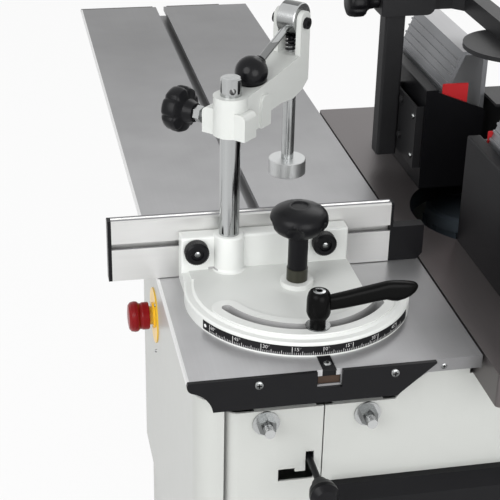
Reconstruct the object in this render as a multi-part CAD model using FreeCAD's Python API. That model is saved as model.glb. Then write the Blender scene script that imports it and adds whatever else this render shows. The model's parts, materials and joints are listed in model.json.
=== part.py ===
import FreeCAD, Part
import math
import os

os.makedirs("parts", exist_ok=True)
V = FreeCAD.Vector
UP = V(0, 0, 1)

# Lengths in mm. X runs along the table, +X is the infeed end, -Y the operator's side, Z = 0 the floor.
# The spindle axis stands at X = 0, Y = 0.

# Fits and clearances
RUN = 0.05          # radial clearance of a turning or sliding round fit
FREE = 0.3          # air between curved or sliding faces that are no fit
HOLE = 0.5          # radial clearance of a screw or stud hole

# Working height and the two tables
TABLE_Z = 880.0
SLIDE_L = 1416.0
SLIDE_W = 340.0
SLIDE_T = 40.0
SLIDE_OVER = 34.0   # near end of the sliding table, out from the cabinet
FLANGE_T = 16.0
FLANGE_Y = 276.0    # start of the flange, from the operator's edge
FOOT_Y = (28.0, 240.0)
COVE_Y = 20.5
COVE_Z = 23.0
NOSE_Y = 5.0
NOSE_Z = 13.0
HOLLOWS = ((40.0, 84.0), (92.0, 136.0), (188.0, 232.0))
HOLLOW_Z = (34.0, 7.0)
CAP_T = 5.0
CAP_W = 284.0
TABLE_GAP = 3.0
MAIN_HALF = 415.0
MAIN_FRONT = -149.0
MAIN_D = 500.0
MAIN_SKIN = 12.0
MAIN_RIM = 42.0
RIM_W = 10.0
OPENING_R = 117.0
OPENING_LIP = 14.0

# T-slot of the sliding table
SLOT_IN = 160.0     # from the operator's edge
SLOT_W = 16.0
SLOT_LIP = 8.0
SLOT_TW = 27.0
SLOT_DEEP = 19.0

# Mitre gauge, measured from its pivot
PIVOT_BACK = 170.0
QUAD_R = 137.0
QUAD_FLOOR = 20.0
QUAD_BAND = 22.0
QUAD_RIM = 17.5
RIM_R = 128.0
RING_R = 20.0
RING_H = 26.5
ARC_R = 106.5
ARC_W = 12.5
BAND_W = 18.0       # half the width of the raised band round the arc slot
ARC_A0 = -63.0      # ends of the arc slot, degrees
ARC_A1 = 53.0
WALL_X = -53.0
WALL_T = 22.2
WALL_Y0 = -133.5
WALL_Y1 = 77.5
WALL_H = 64.5
PIVOT_STUD_R = 6.0
BOSS_R = 19.0
BOSS_H = 67.0
POST_X = -56.0
POST_Y = -74.0
KNOB_SHANK_R = 12.0
KNOB_R = 35.0
KNOB_Z0 = 88.0
KNOB_Z1 = 125.0
LEVER_STUD_R = 4.0
LEVER_HUB_R = 14.0
LEVER_HUB_Z = 68.0

# Mitre fence
FENCE_X = -75.5
FENCE_T = 16.0
FENCE_Y0 = -216.5
FENCE_Y1 = 139.0
FENCE_Z0 = 1.0
FENCE_Z1 = 82.5
FENCE_SLOT_Z = 48.0
FENCE_SLOT_W = 8.0
FENCE_CAP0 = 4.5
FENCE_CAP1 = 3.5
SPLINT_L = 42.0
SPLINT_Z1 = 49.0
KNURL_R = 14.5
KNURL_T = 14.0
KNURL_Y = (-115.5, 45.0)

# Hold-down, measured along its arm from the post and up from the table
POST_R = 12.5
POST_TOP = 268.0
ARM_DEG = 135.0
CLAMP_R = 21.0
CLAMP_Z0 = 198.0
CLAMP_Z1 = 246.0
EAR_X = 9.0
EAR_BACK = 15.0
EAR_Y = 30.5
EAR_Z1 = 230.0
REACH = 130.5
CAM_Z = 304.0
CAM_R = 20.0
CAM_E = 4.0
CAM_T = 25.0
CHEEK_T = 7.0
CHEEK_Z1 = 318.5
FORK_R = 10.7
FORK_Z = 264.5
PIN_R = 5.0
ROD_R = 4.7
ROD_DEG = 205.4
BALL_AT = 97.4
BALL_R = 20.0
PLUNGER_R = 8.0
STEM_R = 4.5
HEAD_R = 7.5
HEAD_T = 4.0
FOOT_Z0 = 102.0
FOOT_Z1 = 122.5
FOOT_R = 23.8
SPRING_R = 6.3
WIRE_R = 1.25
SPRING_TURNS = 3.0
STAR_Z = 212.5
STAR_R = 28.0
STAR_Y0 = 62.0
STAR_Y1 = 86.0
STAR_NUT_Y = 40.0

# Guide rods under the sliding table
ROD_Y = (-396.0, -275.0)
ROD_DROP = 84.0
GUIDE_R = 10.0
STUD_R = 6.0
STUD_OUT = 24.0
WASHER_R = 16.0
WASHER_T = 2.5
NUT_AF = 19.0
NUT_T = 10.0
BLOCK_L = 100.0
BLOCK_W = 48.0
BLOCK_X = (68.0, -332.0)
BEAM_SHORT = 252.0  # the beam ends this far before the sliding table does
BEAM_DROP = (190.0, 132.0)

# Cabinet; every drop is measured down from the table top
OVERHANG = 75.0
BODY_Y0 = -445.0
REAR_OVER = 89.0
SHEET = 2.5
PLATE_T = 12.0
PLATE_OUT = 34.0
ANCHOR_R = 7.0
ANCHOR_IN = 16.0
WALL_DROP = 48.0
PANEL_DROP = 68.0
PANEL_R = 18.0      # bend at the operator's side of the end panel
LEDGE_W = 16.0      # edge of the end panels folded inwards at the top
LEDGE_L = (-409.0, -336.0)
LEDGE_R = (-316.0, -256.0)
SEAM_Y = -327.0
SEAM_W = 1.5
COVER_LEFT = 512.0
COVER_D = 33.0
COVER_DROP = 425.0
COVER_R = 26.0
LSLOT_Y = -342.0
LSLOT_W = 10.0
LSLOT_DROP = (170.0, 130.5)
LSLOT_RUN = 37.5
LSLOT_T = 12.0      # height of the slot's foot
LSLOT_BUMP = (20.0, 5.0)
BOX_Y = (-315.0, -95.0)
BOX_DROP = (340.0, 176.0)
BOX_OUT = 26.0
STOP_X = -20.0
STOP_DROP = 138.0

# Release lever
LEVER_R = 4.0
LEVER_IN = 170.0
LEVER_OUT = 68.0
LEVER_DROP = 141.0
LEVER_KNOB_R = 17.0
LEVER_PIN_R = 5.0
LEVER_HUB = (11.0, 13.0)   # radius and half length of the lever's hub
LUG_GAP = 14.0
LUG_T = 8.0

# Spindle and its lift
SPIN_R = 15.0
SPIN_DROP = 280.0
SPIN_UP = 116.0
JOURNAL_R = 17.5
BEARING_R = 31.0
BEARING_T = 17.0
CARRIER_R = 46.0
CARRIER_DROP = (220.0, 54.0)
COLLAR_R = 30.0
COLLAR_T = 10.0
RING_T = (40.0, 40.0, 40.0)
SPIN_NUT_T = 18.0
COLUMN_X = 75.0
COLUMN_Y = 130.0
COLUMN_R = 15.0
BRACKET_DROP = (335.0, 315.0)
GEAR_ARM_X = 60.0
MOTOR_X = -185.0
MOTOR_Y = 40.0
MOTOR_R = 72.0
MOTOR_H = 126.0
MOTOR_FINS = 10
PULLEY_DROP = (274.0, 234.0)
PULLEY_RS = 34.0
PULLEY_RM = 54.0
BELT_T = 4.0
BELT_W = 30.0
SCREW_R = 10.0
SCREW_DROP = 70.0
GEAR_R = 24.0
GEAR_FACE = 10.0
GEAR_TEETH = 16
SHAFT_R = 9.0
WHEEL_R = 92.0
WHEEL_RIM = 10.0
WHEEL_OUT = 34.0
GRIP_R = 13.0
GRIP_L = 70.0

# Fence halves, hood and presser
GAP_HALF = 84.0
CHEEK = 4.0
PLATE_GAP = 3.0
FENCE_IN = 115.0
BOARD_Y0 = -83.0
BOARD_T = 18.0
BOARD_H = 150.0
PROFILE_H = 202.0
PROFILE_Y1 = 6.0
PROFILE_T = 5.0
LIFT = 0.4
HOOD_HALF = 115.0
HOOD_T = 4.0
HOOD_H = 140.0
HOOD_Y1 = 118.0
PORT_R = 60.0
PORT_T = 3.0
PORT_L = 90.0
PORT_Z = 74.0
PRESS_X = (-195.0, -165.0)
PRESS_T = 30.0
PRESS_Z0 = 22.0
BLOCK_Z = (236.0, 270.0)
BRACKET_X = (-197.0, -89.0)
BRACKET_H = (31.0, 124.0)
BRACKET_D = 11.0
ARM_Z = (241.0, 266.0)
ARM_W = 24.0
GUARD_R = 65.0
PRESS_KNOB_R = 22.0

# Derived places
slide_y1 = MAIN_FRONT - TABLE_GAP
slide_y0 = slide_y1 - SLIDE_W
slot_y = slide_y0 + SLOT_IN
BODY_X = MAIN_HALF - OVERHANG
SLIDE_END = BODY_X + SLIDE_OVER
BODY_Y1 = MAIN_FRONT + MAIN_D - REAR_OVER
FENCE_END = MAIN_HALF - FENCE_IN
COVER_X0 = BODY_X - COVER_LEFT
LEVER_PIVOT_X = BODY_X - LEVER_IN
LEVER_KNOB_X = BODY_X + LEVER_OUT
BEAM_END = SLIDE_END - SLIDE_L + BEAM_SHORT
ROD_Z = TABLE_Z - ROD_DROP
WALL_TOP = TABLE_Z - WALL_DROP
PANEL_TOP = TABLE_Z - PANEL_DROP
COVER_Z0 = TABLE_Z - COVER_DROP
STOP_Z = TABLE_Z - STOP_DROP
LEVER_Z = TABLE_Z - LEVER_DROP
SPIN_TOP = TABLE_Z + SPIN_UP
BEAM_Z0, BEAM_Z1 = [TABLE_Z - d for d in BEAM_DROP]
LSLOT_Z0, LSLOT_Z1 = [TABLE_Z - d for d in LSLOT_DROP]
BOX_Z = [TABLE_Z - d for d in BOX_DROP]
CARRIER_Z = [TABLE_Z - d for d in CARRIER_DROP]
BRACKET_Z = [TABLE_Z - d for d in BRACKET_DROP]
PULLEY_Z = [TABLE_Z - d for d in PULLEY_DROP]
pivot = V(SLIDE_END - PIVOT_BACK, slot_y, TABLE_Z)
post_at = pivot + V(POST_X, POST_Y, 0)
fence_y1 = BOARD_Y0 + BOARD_T
gear_z = BRACKET_Z[0] - GEAR_R - 16.0


def box(x0, x1, y0, y1, z0, z1):
    return Part.makeBox(x1 - x0, y1 - y0, z1 - z0, V(x0, y0, z0))


def rod(r, a, b):
    a, b = V(*a), V(*b)
    return Part.makeCylinder(r, (b - a).Length, a, b - a)


def tube(ro, ri, a, b):
    return rod(ro, a, b).cut(rod(ri, a, b))


def prism(points, along):
    face = Part.Face(Part.makePolygon(points + [points[0]]))
    return face.extrude(along)


def along_x(yz, x0, x1):
    return prism([V(x0, y, z) for y, z in yz], V(x1 - x0, 0, 0))


def along_y(xz, y0, y1):
    return prism([V(x, y0, z) for x, z in xz], V(0, y1 - y0, 0))


def along_z(xy, z0, z1):
    return prism([V(x, y, z0) for x, y in xy], V(0, 0, z1 - z0))


def turned(rz, at, axis=UP):
    """Solid of revolution from (radius, height) points, its height along axis from at."""
    face = Part.Face(Part.makePolygon([V(r, 0, z) for r, z in rz + [rz[0]]]))
    solid = face.revolve(V(0, 0, 0), UP, 360)
    place = FreeCAD.Placement(at, FreeCAD.Rotation(UP, axis))
    solid.Placement = place
    return solid


def hexagon(af, z0, z1, at, axis=UP):
    r = af / math.sqrt(3)
    pts = [V(r * math.cos(a), r * math.sin(a), z0) for a in [math.pi / 3 * i for i in range(6)]]
    solid = prism(pts, V(0, 0, z1 - z0))
    solid.Placement = FreeCAD.Placement(at, FreeCAD.Rotation(UP, axis))
    return solid


def rounded(shape, radius, test):
    """Round the edges whose middle point passes the test."""
    picked = [e for e in shape.Edges if test(e)]
    return shape.makeFillet(radius, picked)


def upright(e):
    d = e.Vertexes[-1].Point - e.Vertexes[0].Point
    return abs(d.x) < 1e-6 and abs(d.y) < 1e-6 and abs(d.z) > 1e-6


def fuse(first, *rest):
    out = first
    for s in rest:
        out = out.fuse(s)
    return out.removeSplitter()


def mirrored(shape):
    return shape.mirror(V(0, 0, 0), V(1, 0, 0))


def moved(shape, at, deg=0.0):
    s = shape.copy()
    s.Placement = FreeCAD.Placement(at, FreeCAD.Rotation(UP, deg)).multiply(s.Placement)
    return s


def save(name, *solids):
    shape = solids[0] if len(solids) == 1 else Part.makeCompound(list(solids))
    shape.exportStep("parts/%s.step" % name)


# Sliding table: one extrusion with a cove on the operator's side and a thin flange on the other
def slide_edge(right, right_z):
    y, z = slide_y0, TABLE_Z
    low = z - SLIDE_T
    left, mid = y + FOOT_Y[0], y + FOOT_Y[1]
    pts = [V(0, y, z), V(0, right, z), V(0, right, z - right_z), V(0, mid, low), V(0, left, low)]
    if right_z == FLANGE_T:
        pts.insert(3, V(0, y + FLANGE_Y, z - right_z))
    edges = [Part.LineSegment(a, b).toShape() for a, b in zip(pts, pts[1:])]
    nose = V(0, y + NOSE_Y, z - NOSE_Z)
    edges.append(Part.Arc(pts[-1], V(0, y + COVE_Y, z - COVE_Z), nose).toShape())
    edges.append(Part.Arc(nose, V(0, y - NOSE_Y / 5, z - NOSE_Z / 2), pts[0]).toShape())
    return Part.Face(Part.Wire(edges))


def sliding_table():
    x0, x1 = SLIDE_END - SLIDE_L + CAP_T, SLIDE_END - CAP_T
    face = slide_edge(slide_y1, FLANGE_T)
    body = face.extrude(V(x1 - x0, 0, 0))
    body.translate(V(x0, 0, 0))
    body = body.cut(slot_tool(x0, x1))
    low, high = [TABLE_Z - d for d in HOLLOW_Z]
    for y0, y1 in HOLLOWS:
        body = body.cut(box(x0, x1, slide_y0 + y0, slide_y0 + y1, low, high))
    return body


def slot_tool(x0, x1):
    half, wide = SLOT_W / 2, SLOT_TW / 2
    lip, deep = TABLE_Z - SLOT_LIP, TABLE_Z - SLOT_DEEP
    yz = [(slot_y - half, TABLE_Z + 1), (slot_y - half, lip), (slot_y - wide, lip), (slot_y - wide, deep),
          (slot_y + wide, deep), (slot_y + wide, lip), (slot_y + half, lip), (slot_y + half, TABLE_Z + 1)]
    return along_x(yz, x0, x1)


def end_cap(x0):
    cap = slide_edge(slide_y0 + CAP_W, 2.0).extrude(V(CAP_T, 0, 0))
    cap.translate(V(x0, 0, 0))
    half = SLOT_TW / 2 + 1
    return cap.cut(box(x0 - 1, x0 + CAP_T + 1, slot_y - half, slot_y + half, TABLE_Z - SLOT_DEEP - 2.5,
                       TABLE_Z + 1))


def bearing_block(x, y):
    low, high = ROD_Z - GUIDE_R - 12, TABLE_Z - SLIDE_T
    half = BLOCK_W / 2
    yz = [(y - half, low + 8), (y - half + 8, low), (y + half - 8, low), (y + half, low + 8),
          (y + half, high), (y - half, high)]
    solid = along_x(yz, x - BLOCK_L / 2, x + BLOCK_L / 2)
    return solid.cut(rod(GUIDE_R + RUN, (x - BLOCK_L, y, ROD_Z), (x + BLOCK_L, y, ROD_Z)))


save("sliding_table", sliding_table())
save("table_end_caps", end_cap(SLIDE_END - CAP_T), end_cap(SLIDE_END - SLIDE_L))
save("bearing_blocks", *[bearing_block(x, y) for x in BLOCK_X for y in ROD_Y])


# Guide rods with shouldered ends, washers and nuts, and the beam that carries their far ends
def guide_rod(y):
    face_x = BODY_X - SHEET
    out = rod(GUIDE_R, (BEAM_END + 10, y, ROD_Z), (face_x, y, ROD_Z))
    return fuse(out, rod(STUD_R, (BEAM_END - STUD_OUT, y, ROD_Z), (BODY_X + STUD_OUT, y, ROD_Z)))


def rod_washer(y, x, sign):
    a, b = x, x + sign * WASHER_T
    return tube(WASHER_R, STUD_R + RUN, (min(a, b), y, ROD_Z), (max(a, b), y, ROD_Z))


def rod_nut(y, x, sign):
    nut = hexagon(NUT_AF, WASHER_T, WASHER_T + NUT_T, V(x, y, ROD_Z), V(sign, 0, 0))
    return nut.cut(rod(STUD_R + RUN, (x - 40, y, ROD_Z), (x + 40, y, ROD_Z)))


ends = [(BODY_X, 1), (BEAM_END, -1)]
washers = [rod_washer(y, x, s) for y in ROD_Y for x, s in ends]
nuts = [rod_nut(y, x, s) for y in ROD_Y for x, s in ends]
save("guide_rods", *([guide_rod(y) for y in ROD_Y] + washers + nuts))

beam_y0, beam_y1 = ROD_Y[0] - 28, ROD_Y[1] + 28
beam = box(BEAM_END + 10, -BODY_X, beam_y0, beam_y1, BEAM_Z0, BEAM_Z1)
beam = beam.cut(box(BEAM_END + 9, -BODY_X - 6, beam_y0 + 4, beam_y1 - 4, BEAM_Z0 + 4, BEAM_Z1 - 4))
beam_end = box(BEAM_END, BEAM_END + 10, beam_y0, beam_y1, BEAM_Z0, ROD_Z + 26)
for y in ROD_Y:
    beam_end = beam_end.cut(rod(STUD_R + RUN, (BEAM_END - 1, y, ROD_Z), (BEAM_END + 11, y, ROD_Z)))
save("guide_beam", fuse(beam, beam_end))


# Main table: a skin with a rim and ribs below, and the round spindle opening
def main_table():
    y0, y1 = MAIN_FRONT, MAIN_FRONT + MAIN_D
    low = TABLE_Z - MAIN_RIM
    body = box(-MAIN_HALF, MAIN_HALF, y0, y1, low, TABLE_Z)
    body = rounded(body, 6, upright)
    hollow_z = TABLE_Z - MAIN_SKIN
    body = body.cut(box(-MAIN_HALF + RIM_W, MAIN_HALF - RIM_W, y0 + RIM_W, y1 - RIM_W, low - 1, hollow_z))
    for x in (-BODY_X, BODY_X - RIM_W):
        body = body.fuse(box(x, x + RIM_W, y0, y1, low, hollow_z))
    body = body.fuse(box(-MAIN_HALF, MAIN_HALF, BODY_Y1 - RIM_W, BODY_Y1, low, hollow_z))
    body = body.fuse(rod(OPENING_R + OPENING_LIP, (0, 0, hollow_z - 16), (0, 0, hollow_z)))
    return body.cut(rod(OPENING_R, (0, 0, low - 1), (0, 0, TABLE_Z + 1))).removeSplitter()


save("main_table", main_table())


# Cabinet sheets
def base_plate():
    x = BODY_X + PLATE_OUT
    y0, y1 = BODY_Y0 - PLATE_OUT, BODY_Y1 + PLATE_OUT
    plate = rounded(box(-x, x, y0, y1, 0, PLATE_T), 18, upright)
    for px in (-x + ANCHOR_IN, x - ANCHOR_IN):
        for py in (y0 + ANCHOR_IN, y1 - ANCHOR_IN):
            plate = plate.cut(rod(ANCHOR_R, (px, py, -1), (px, py, PLATE_T + 1)))
    return plate


def front_wall():
    return box(-BODY_X + SHEET, BODY_X - PANEL_R, BODY_Y0, BODY_Y0 + SHEET, PLATE_T, WALL_TOP)


def lever_bracket():
    """Two lugs on a shelf from the front wall, bored for the lever's cross pin."""
    x0, x1 = LEVER_PIVOT_X - 18, LEVER_PIVOT_X + 18
    low = LEVER_Z - 22
    out = box(x0, x1, BODY_Y0 + SHEET, LSLOT_Y + LUG_GAP + LUG_T, low - 6, low)
    for y0 in (LSLOT_Y - LUG_GAP - LUG_T, LSLOT_Y + LUG_GAP):
        out = out.fuse(box(x0, x1, y0, y0 + LUG_T, low, LEVER_Z))
        out = out.fuse(rod(18, (LEVER_PIVOT_X, y0, LEVER_Z), (LEVER_PIVOT_X, y0 + LUG_T, LEVER_Z)))
    reach = LUG_GAP + LUG_T + 1
    ends = [(LEVER_PIVOT_X, LSLOT_Y + d, LEVER_Z) for d in (-reach, reach)]
    bore = rod(LEVER_PIN_R + RUN, *ends)
    return out.cut(bore).removeSplitter()


def far_wall():
    low = TABLE_Z - MAIN_RIM
    yz = [(BODY_Y0, PLATE_T), (BODY_Y1 - SHEET, PLATE_T), (BODY_Y1 - SHEET, low), (MAIN_FRONT, low),
          (MAIN_FRONT, WALL_TOP), (beam_y1 + 10, WALL_TOP), (beam_y1 + 10, BEAM_Z1 + 4),
          (beam_y0 - 10, BEAM_Z1 + 4), (beam_y0 - 10, WALL_TOP), (BODY_Y0, WALL_TOP)]
    return along_x(yz, -BODY_X, -BODY_X + SHEET)


def rear_panel():
    inner = BODY_X - SHEET
    wall = box(-inner, inner, BODY_Y1 - SHEET, BODY_Y1, PLATE_T, TABLE_Z - MAIN_RIM)
    for i in range(6):
        for x in (-150, 30):
            z = 200 + 28 * i
            wall = wall.cut(box(x, x + 120, BODY_Y1 - 20, BODY_Y1 + 20, z, z + 8))
    return wall


def end_panels():
    x0, x1 = BODY_X - SHEET, BODY_X
    low = TABLE_Z - MAIN_RIM
    left = box(x0, x1, BODY_Y0 + PANEL_R, SEAM_Y - SEAM_W / 2, PLATE_T, PANEL_TOP)
    seam, edge = SEAM_Y + SEAM_W / 2, slide_y1 - 1
    high = TABLE_Z - FLANGE_T - 6
    yz = [(seam, PLATE_T), (BODY_Y1, PLATE_T), (BODY_Y1, low), (edge, low), (edge, high), (slide_y0 + CAP_W, high),
          (slide_y0 + 250, PANEL_TOP), (seam, PANEL_TOP)]
    right = along_x(yz, x0, x1)
    hole_l = rod(STUD_R + HOLE, (x0 - 1, ROD_Y[0], ROD_Z), (x1 + 1, ROD_Y[0], ROD_Z))
    hole_r = rod(STUD_R + HOLE, (x0 - 1, ROD_Y[1], ROD_Z), (x1 + 1, ROD_Y[1], ROD_Z))
    pieces = around_slot(left.cut(hole_l).cut(lever_slot(x0 - 1, x1 + 1)))
    shaft = rod(SHAFT_R + HOLE, (x0 - 1, COLUMN_Y, gear_z), (x1 + 1, COLUMN_Y, gear_z))
    ledges = [box(x0 - LEDGE_W, x0, y0, y1, PANEL_TOP - SHEET, PANEL_TOP) for y0, y1 in (LEDGE_L, LEDGE_R)]
    return pieces + [panel_bend(), ledges[0]], [right.cut(hole_r).cut(shaft), ledges[1]]


def panel_bend():
    """Quarter round from the front wall into the end panel."""
    height = PANEL_TOP - PLATE_T
    at = V(BODY_X - PANEL_R, BODY_Y0 + PANEL_R, PLATE_T)
    bend = Part.makeCylinder(PANEL_R, height, at, UP, 90).cut(Part.makeCylinder(PANEL_R - SHEET, height, at))
    bend.rotate(at, UP, -90)
    return bend


def lever_slot(x0, x1):
    """L-shaped slot: an upright leg with a round top and a foot with a round end and a step up."""
    half, low, r = LSLOT_W / 2, LSLOT_Z0, LSLOT_T / 2
    end = LSLOT_Y - LSLOT_RUN
    leg = box(x0, x1, LSLOT_Y - half, LSLOT_Y + half, low, LSLOT_Z1 - half)
    leg = leg.fuse(rod(half, (x0, LSLOT_Y, LSLOT_Z1 - half), (x1, LSLOT_Y, LSLOT_Z1 - half)))
    foot = box(x0, x1, end + r, LSLOT_Y, low, low + LSLOT_T).fuse(rod(r, (x0, end + r, low + r), (x1, end + r, low + r)))
    wide, rise = LSLOT_BUMP
    bump = box(x0, x1, end + r - 1, end + wide, low + r, low + LSLOT_T + rise)
    bump = rounded(bump, rise - 0.5, lambda e: e.BoundBox.XLength > 1 and e.BoundBox.ZMin > low + LSLOT_T)
    return fuse(leg, foot, bump)


def around_slot(panel):
    """The sheet as pieces that meet edge to edge round its slot, so that each piece is plain."""
    half = LSLOT_W / 2
    y0, ya, yb, y1 = BODY_Y0, LSLOT_Y - LSLOT_RUN, LSLOT_Y + half, SEAM_Y
    za, zm, zb, top = LSLOT_Z0, LSLOT_Z0 + LSLOT_T, LSLOT_Z1, PANEL_TOP
    step = ya + LSLOT_BUMP[0]
    zs = zm + LSLOT_BUMP[1]
    fields = [(y0, y1, 0, za), (y0, ya, za, top), (yb, y1, za, top), (ya, yb, zb, top),
              (ya, LSLOT_Y - half, zs, zb), (step, LSLOT_Y - half, zm, zs)]
    pieces = [panel.common(box(BODY_X - SHEET, BODY_X, a, b, c, d)) for a, b, c, d in fields]
    return [max(p.Solids, key=lambda q: q.Volume) for p in pieces]


def cover_face(grow):
    x0, x1 = COVER_X0 + grow, BODY_X - grow
    y0, y1 = BODY_Y0 - COVER_D + grow, BODY_Y0
    r = COVER_R - grow
    k = r * (1 - math.sqrt(0.5))
    p = [V(x0, y1, 0), V(x0, y0 + r, 0), V(x0 + r, y0, 0), V(x1 - r, y0, 0), V(x1, y0 + r, 0), V(x1, y1, 0)]
    edges = [Part.LineSegment(p[0], p[1]).toShape(),
             Part.Arc(p[1], V(x0 + k, y0 + k, 0), p[2]).toShape(),
             Part.LineSegment(p[2], p[3]).toShape(),
             Part.Arc(p[3], V(x1 - k, y0 + k, 0), p[4]).toShape(),
             Part.LineSegment(p[4], p[5]).toShape(),
             Part.LineSegment(p[5], p[0]).toShape()]
    return Part.Face(Part.Wire(edges))


def front_cover():
    body = cover_face(0).extrude(V(0, 0, WALL_TOP - COVER_Z0))
    body.translate(V(0, 0, COVER_Z0))
    core = cover_face(SHEET).extrude(V(0, 0, WALL_TOP - COVER_Z0 - 2 * SHEET))
    core.translate(V(0, 0, COVER_Z0 + SHEET))
    hole = rod(8 + HOLE, (STOP_X, BODY_Y0 - COVER_D - 5, STOP_Z), (STOP_X, BODY_Y0 - COVER_D + 5, STOP_Z))
    return body.cut(core).cut(hole)


def control_box():
    x0, x1 = BODY_X, BODY_X + BOX_OUT
    (y0, y1), (z0, z1) = BOX_Y, BOX_Z
    body = along_y([(x0, z0), (x1, z0), (x1, z1 - 14), (x0 + 10, z1), (x0, z1)], y0, y1)
    body = rounded(body, 5, lambda e: abs(e.BoundBox.XMin - x1) < 1e-6 and e.BoundBox.XLength < 1e-6
                   and e.BoundBox.YLength < 1e-6)
    return body.cut(box(x1 - 4, x1 + 1, y0 + 40, y1 - 40, z0 + 62, z0 + 120))


save("base_plate", base_plate())
save("front_wall", front_wall())
save("lever_bracket", lever_bracket())
save("far_wall", far_wall())
save("rear_panel", rear_panel())
panel_l, panel_r = end_panels()
save("end_panel_left", *panel_l)
save("end_panel_right", *panel_r)
save("front_cover", front_cover())
save("control_box", control_box())

# Emergency stop: yellow plate with a collar and core on the cover, the red head slides on the core
stop_at = V(STOP_X, BODY_Y0 - COVER_D, STOP_Z)
OUTWARD = V(0, -1, 0)
save("estop_base", turned([(0, -8), (8, -8), (8, 0), (39, 0), (39, 2), (18, 2), (18, 4.5), (13, 4.5), (13, 18), (0, 18)],
                          stop_at, OUTWARD))
bore_r = 13 + FREE
save("estop_button", turned([(bore_r, 8.9), (18.5, 8.9), (19.3, 10), (19.3, 18), (18.2, 20), (18.2, 22), (21, 25),
                             (21.6, 29), (20.5, 34), (17, 37), (10, 38), (0, 38), (0, 24), (bore_r, 24)],
                            stop_at, OUTWARD))

# Release lever on its cross pin behind the end panel
lever = rod(LEVER_R, (LEVER_PIVOT_X, LSLOT_Y, LEVER_Z), (LEVER_KNOB_X, LSLOT_Y, LEVER_Z))
for radius, reach in (LEVER_HUB, (LEVER_PIN_R, LUG_GAP + LUG_T + 4)):
    ends = [(LEVER_PIVOT_X, LSLOT_Y + d, LEVER_Z) for d in (-reach, reach)]
    lever = lever.fuse(rod(radius, *ends))
r = LEVER_KNOB_R
knob_rz = [(0, -20), (9, -20), (11, -12), (r - 2, -8), (r, 0), (r, 6), (r - 5, 13), (0, 15)]
lever = lever.fuse(turned(knob_rz, V(LEVER_KNOB_X, LSLOT_Y, LEVER_Z), V(1, 0, 0)))
save("release_lever", lever.removeSplitter())


# Spindle carrier: bored tube, two column bosses, a nut boss and an arm for the motor
def carrier():
    z0, z1 = CARRIER_Z
    body = rod(CARRIER_R, (0, 0, z0), (0, 0, z1))
    for x in (-COLUMN_X, COLUMN_X):
        body = body.fuse(rod(26, (x, COLUMN_Y, z0 + 20), (x, COLUMN_Y, z0 + 110)))
    body = body.fuse(rod(22, (0, COLUMN_Y, z0 + 30), (0, COLUMN_Y, z0 + 80)))
    body = body.fuse(box(-COLUMN_X, COLUMN_X, COLUMN_Y - 14, COLUMN_Y + 14, z0 + 30, z0 + 80))
    body = body.fuse(box(-16, 16, 20, COLUMN_Y, z0 + 20, z0 + 120))
    arm = along_z([(0, -CARRIER_R), (MOTOR_X, MOTOR_Y - MOTOR_R), (MOTOR_X, MOTOR_Y + MOTOR_R), (0, CARRIER_R)],
                  z0, z0 + 14)
    body = body.fuse(arm).fuse(rod(MOTOR_R, (MOTOR_X, MOTOR_Y, z0), (MOTOR_X, MOTOR_Y, z0 + 14)))
    body = body.cut(rod(BEARING_R - 5, (0, 0, z0 - 1), (0, 0, z1 + 1)))
    for a, b in ((z0 + 2, z0 + 2 + BEARING_T), (z1 - 6 - BEARING_T, z1 - 6)):
        body = body.cut(rod(BEARING_R + 0.02, (0, 0, a), (0, 0, b)))
    for x in (-COLUMN_X, COLUMN_X):
        body = body.cut(rod(COLUMN_R + RUN, (x, COLUMN_Y, z0 - 1), (x, COLUMN_Y, z1)))
    body = body.cut(rod(SCREW_R + RUN, (0, COLUMN_Y, z0 - 1), (0, COLUMN_Y, z1)))
    body = body.cut(rod(20, (MOTOR_X, MOTOR_Y, z0 - 1), (MOTOR_X, MOTOR_Y, z0 + 15)))
    return body.removeSplitter()


def bearing(z):
    return tube(BEARING_R, JOURNAL_R + RUN, (0, 0, z), (0, 0, z + BEARING_T))


def motor():
    z0 = CARRIER_Z[0] + 14
    z1 = z0 + MOTOR_H
    at = V(MOTOR_X, MOTOR_Y, 0)
    body = turned([(0, z0), (MOTOR_R - 4, z0), (MOTOR_R - 4, z0 + 10), (MOTOR_R - 8, z0 + 14), (MOTOR_R - 8, z1 - 22),
                   (MOTOR_R - 3, z1 - 20), (MOTOR_R - 5, z1 - 3), (MOTOR_R - 12, z1), (0, z1)], at)
    for i in range(MOTOR_FINS):
        a = math.radians(360.0 * i / MOTOR_FINS)
        fin = box(MOTOR_R - 14, MOTOR_R - 1, -1.5, 1.5, z0 + 14, z1 - 22)
        body = body.fuse(moved(fin, at, math.degrees(a)))
    body = body.fuse(box(MOTOR_X - 36, MOTOR_X + 36, MOTOR_Y + MOTOR_R - 20, MOTOR_Y + MOTOR_R + 30, z0 + 34, z0 + 86))
    return body.cut(rod(12 + RUN, (MOTOR_X, MOTOR_Y, z0 - 1), (MOTOR_X, MOTOR_Y, z0 + 20))).removeSplitter()


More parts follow.
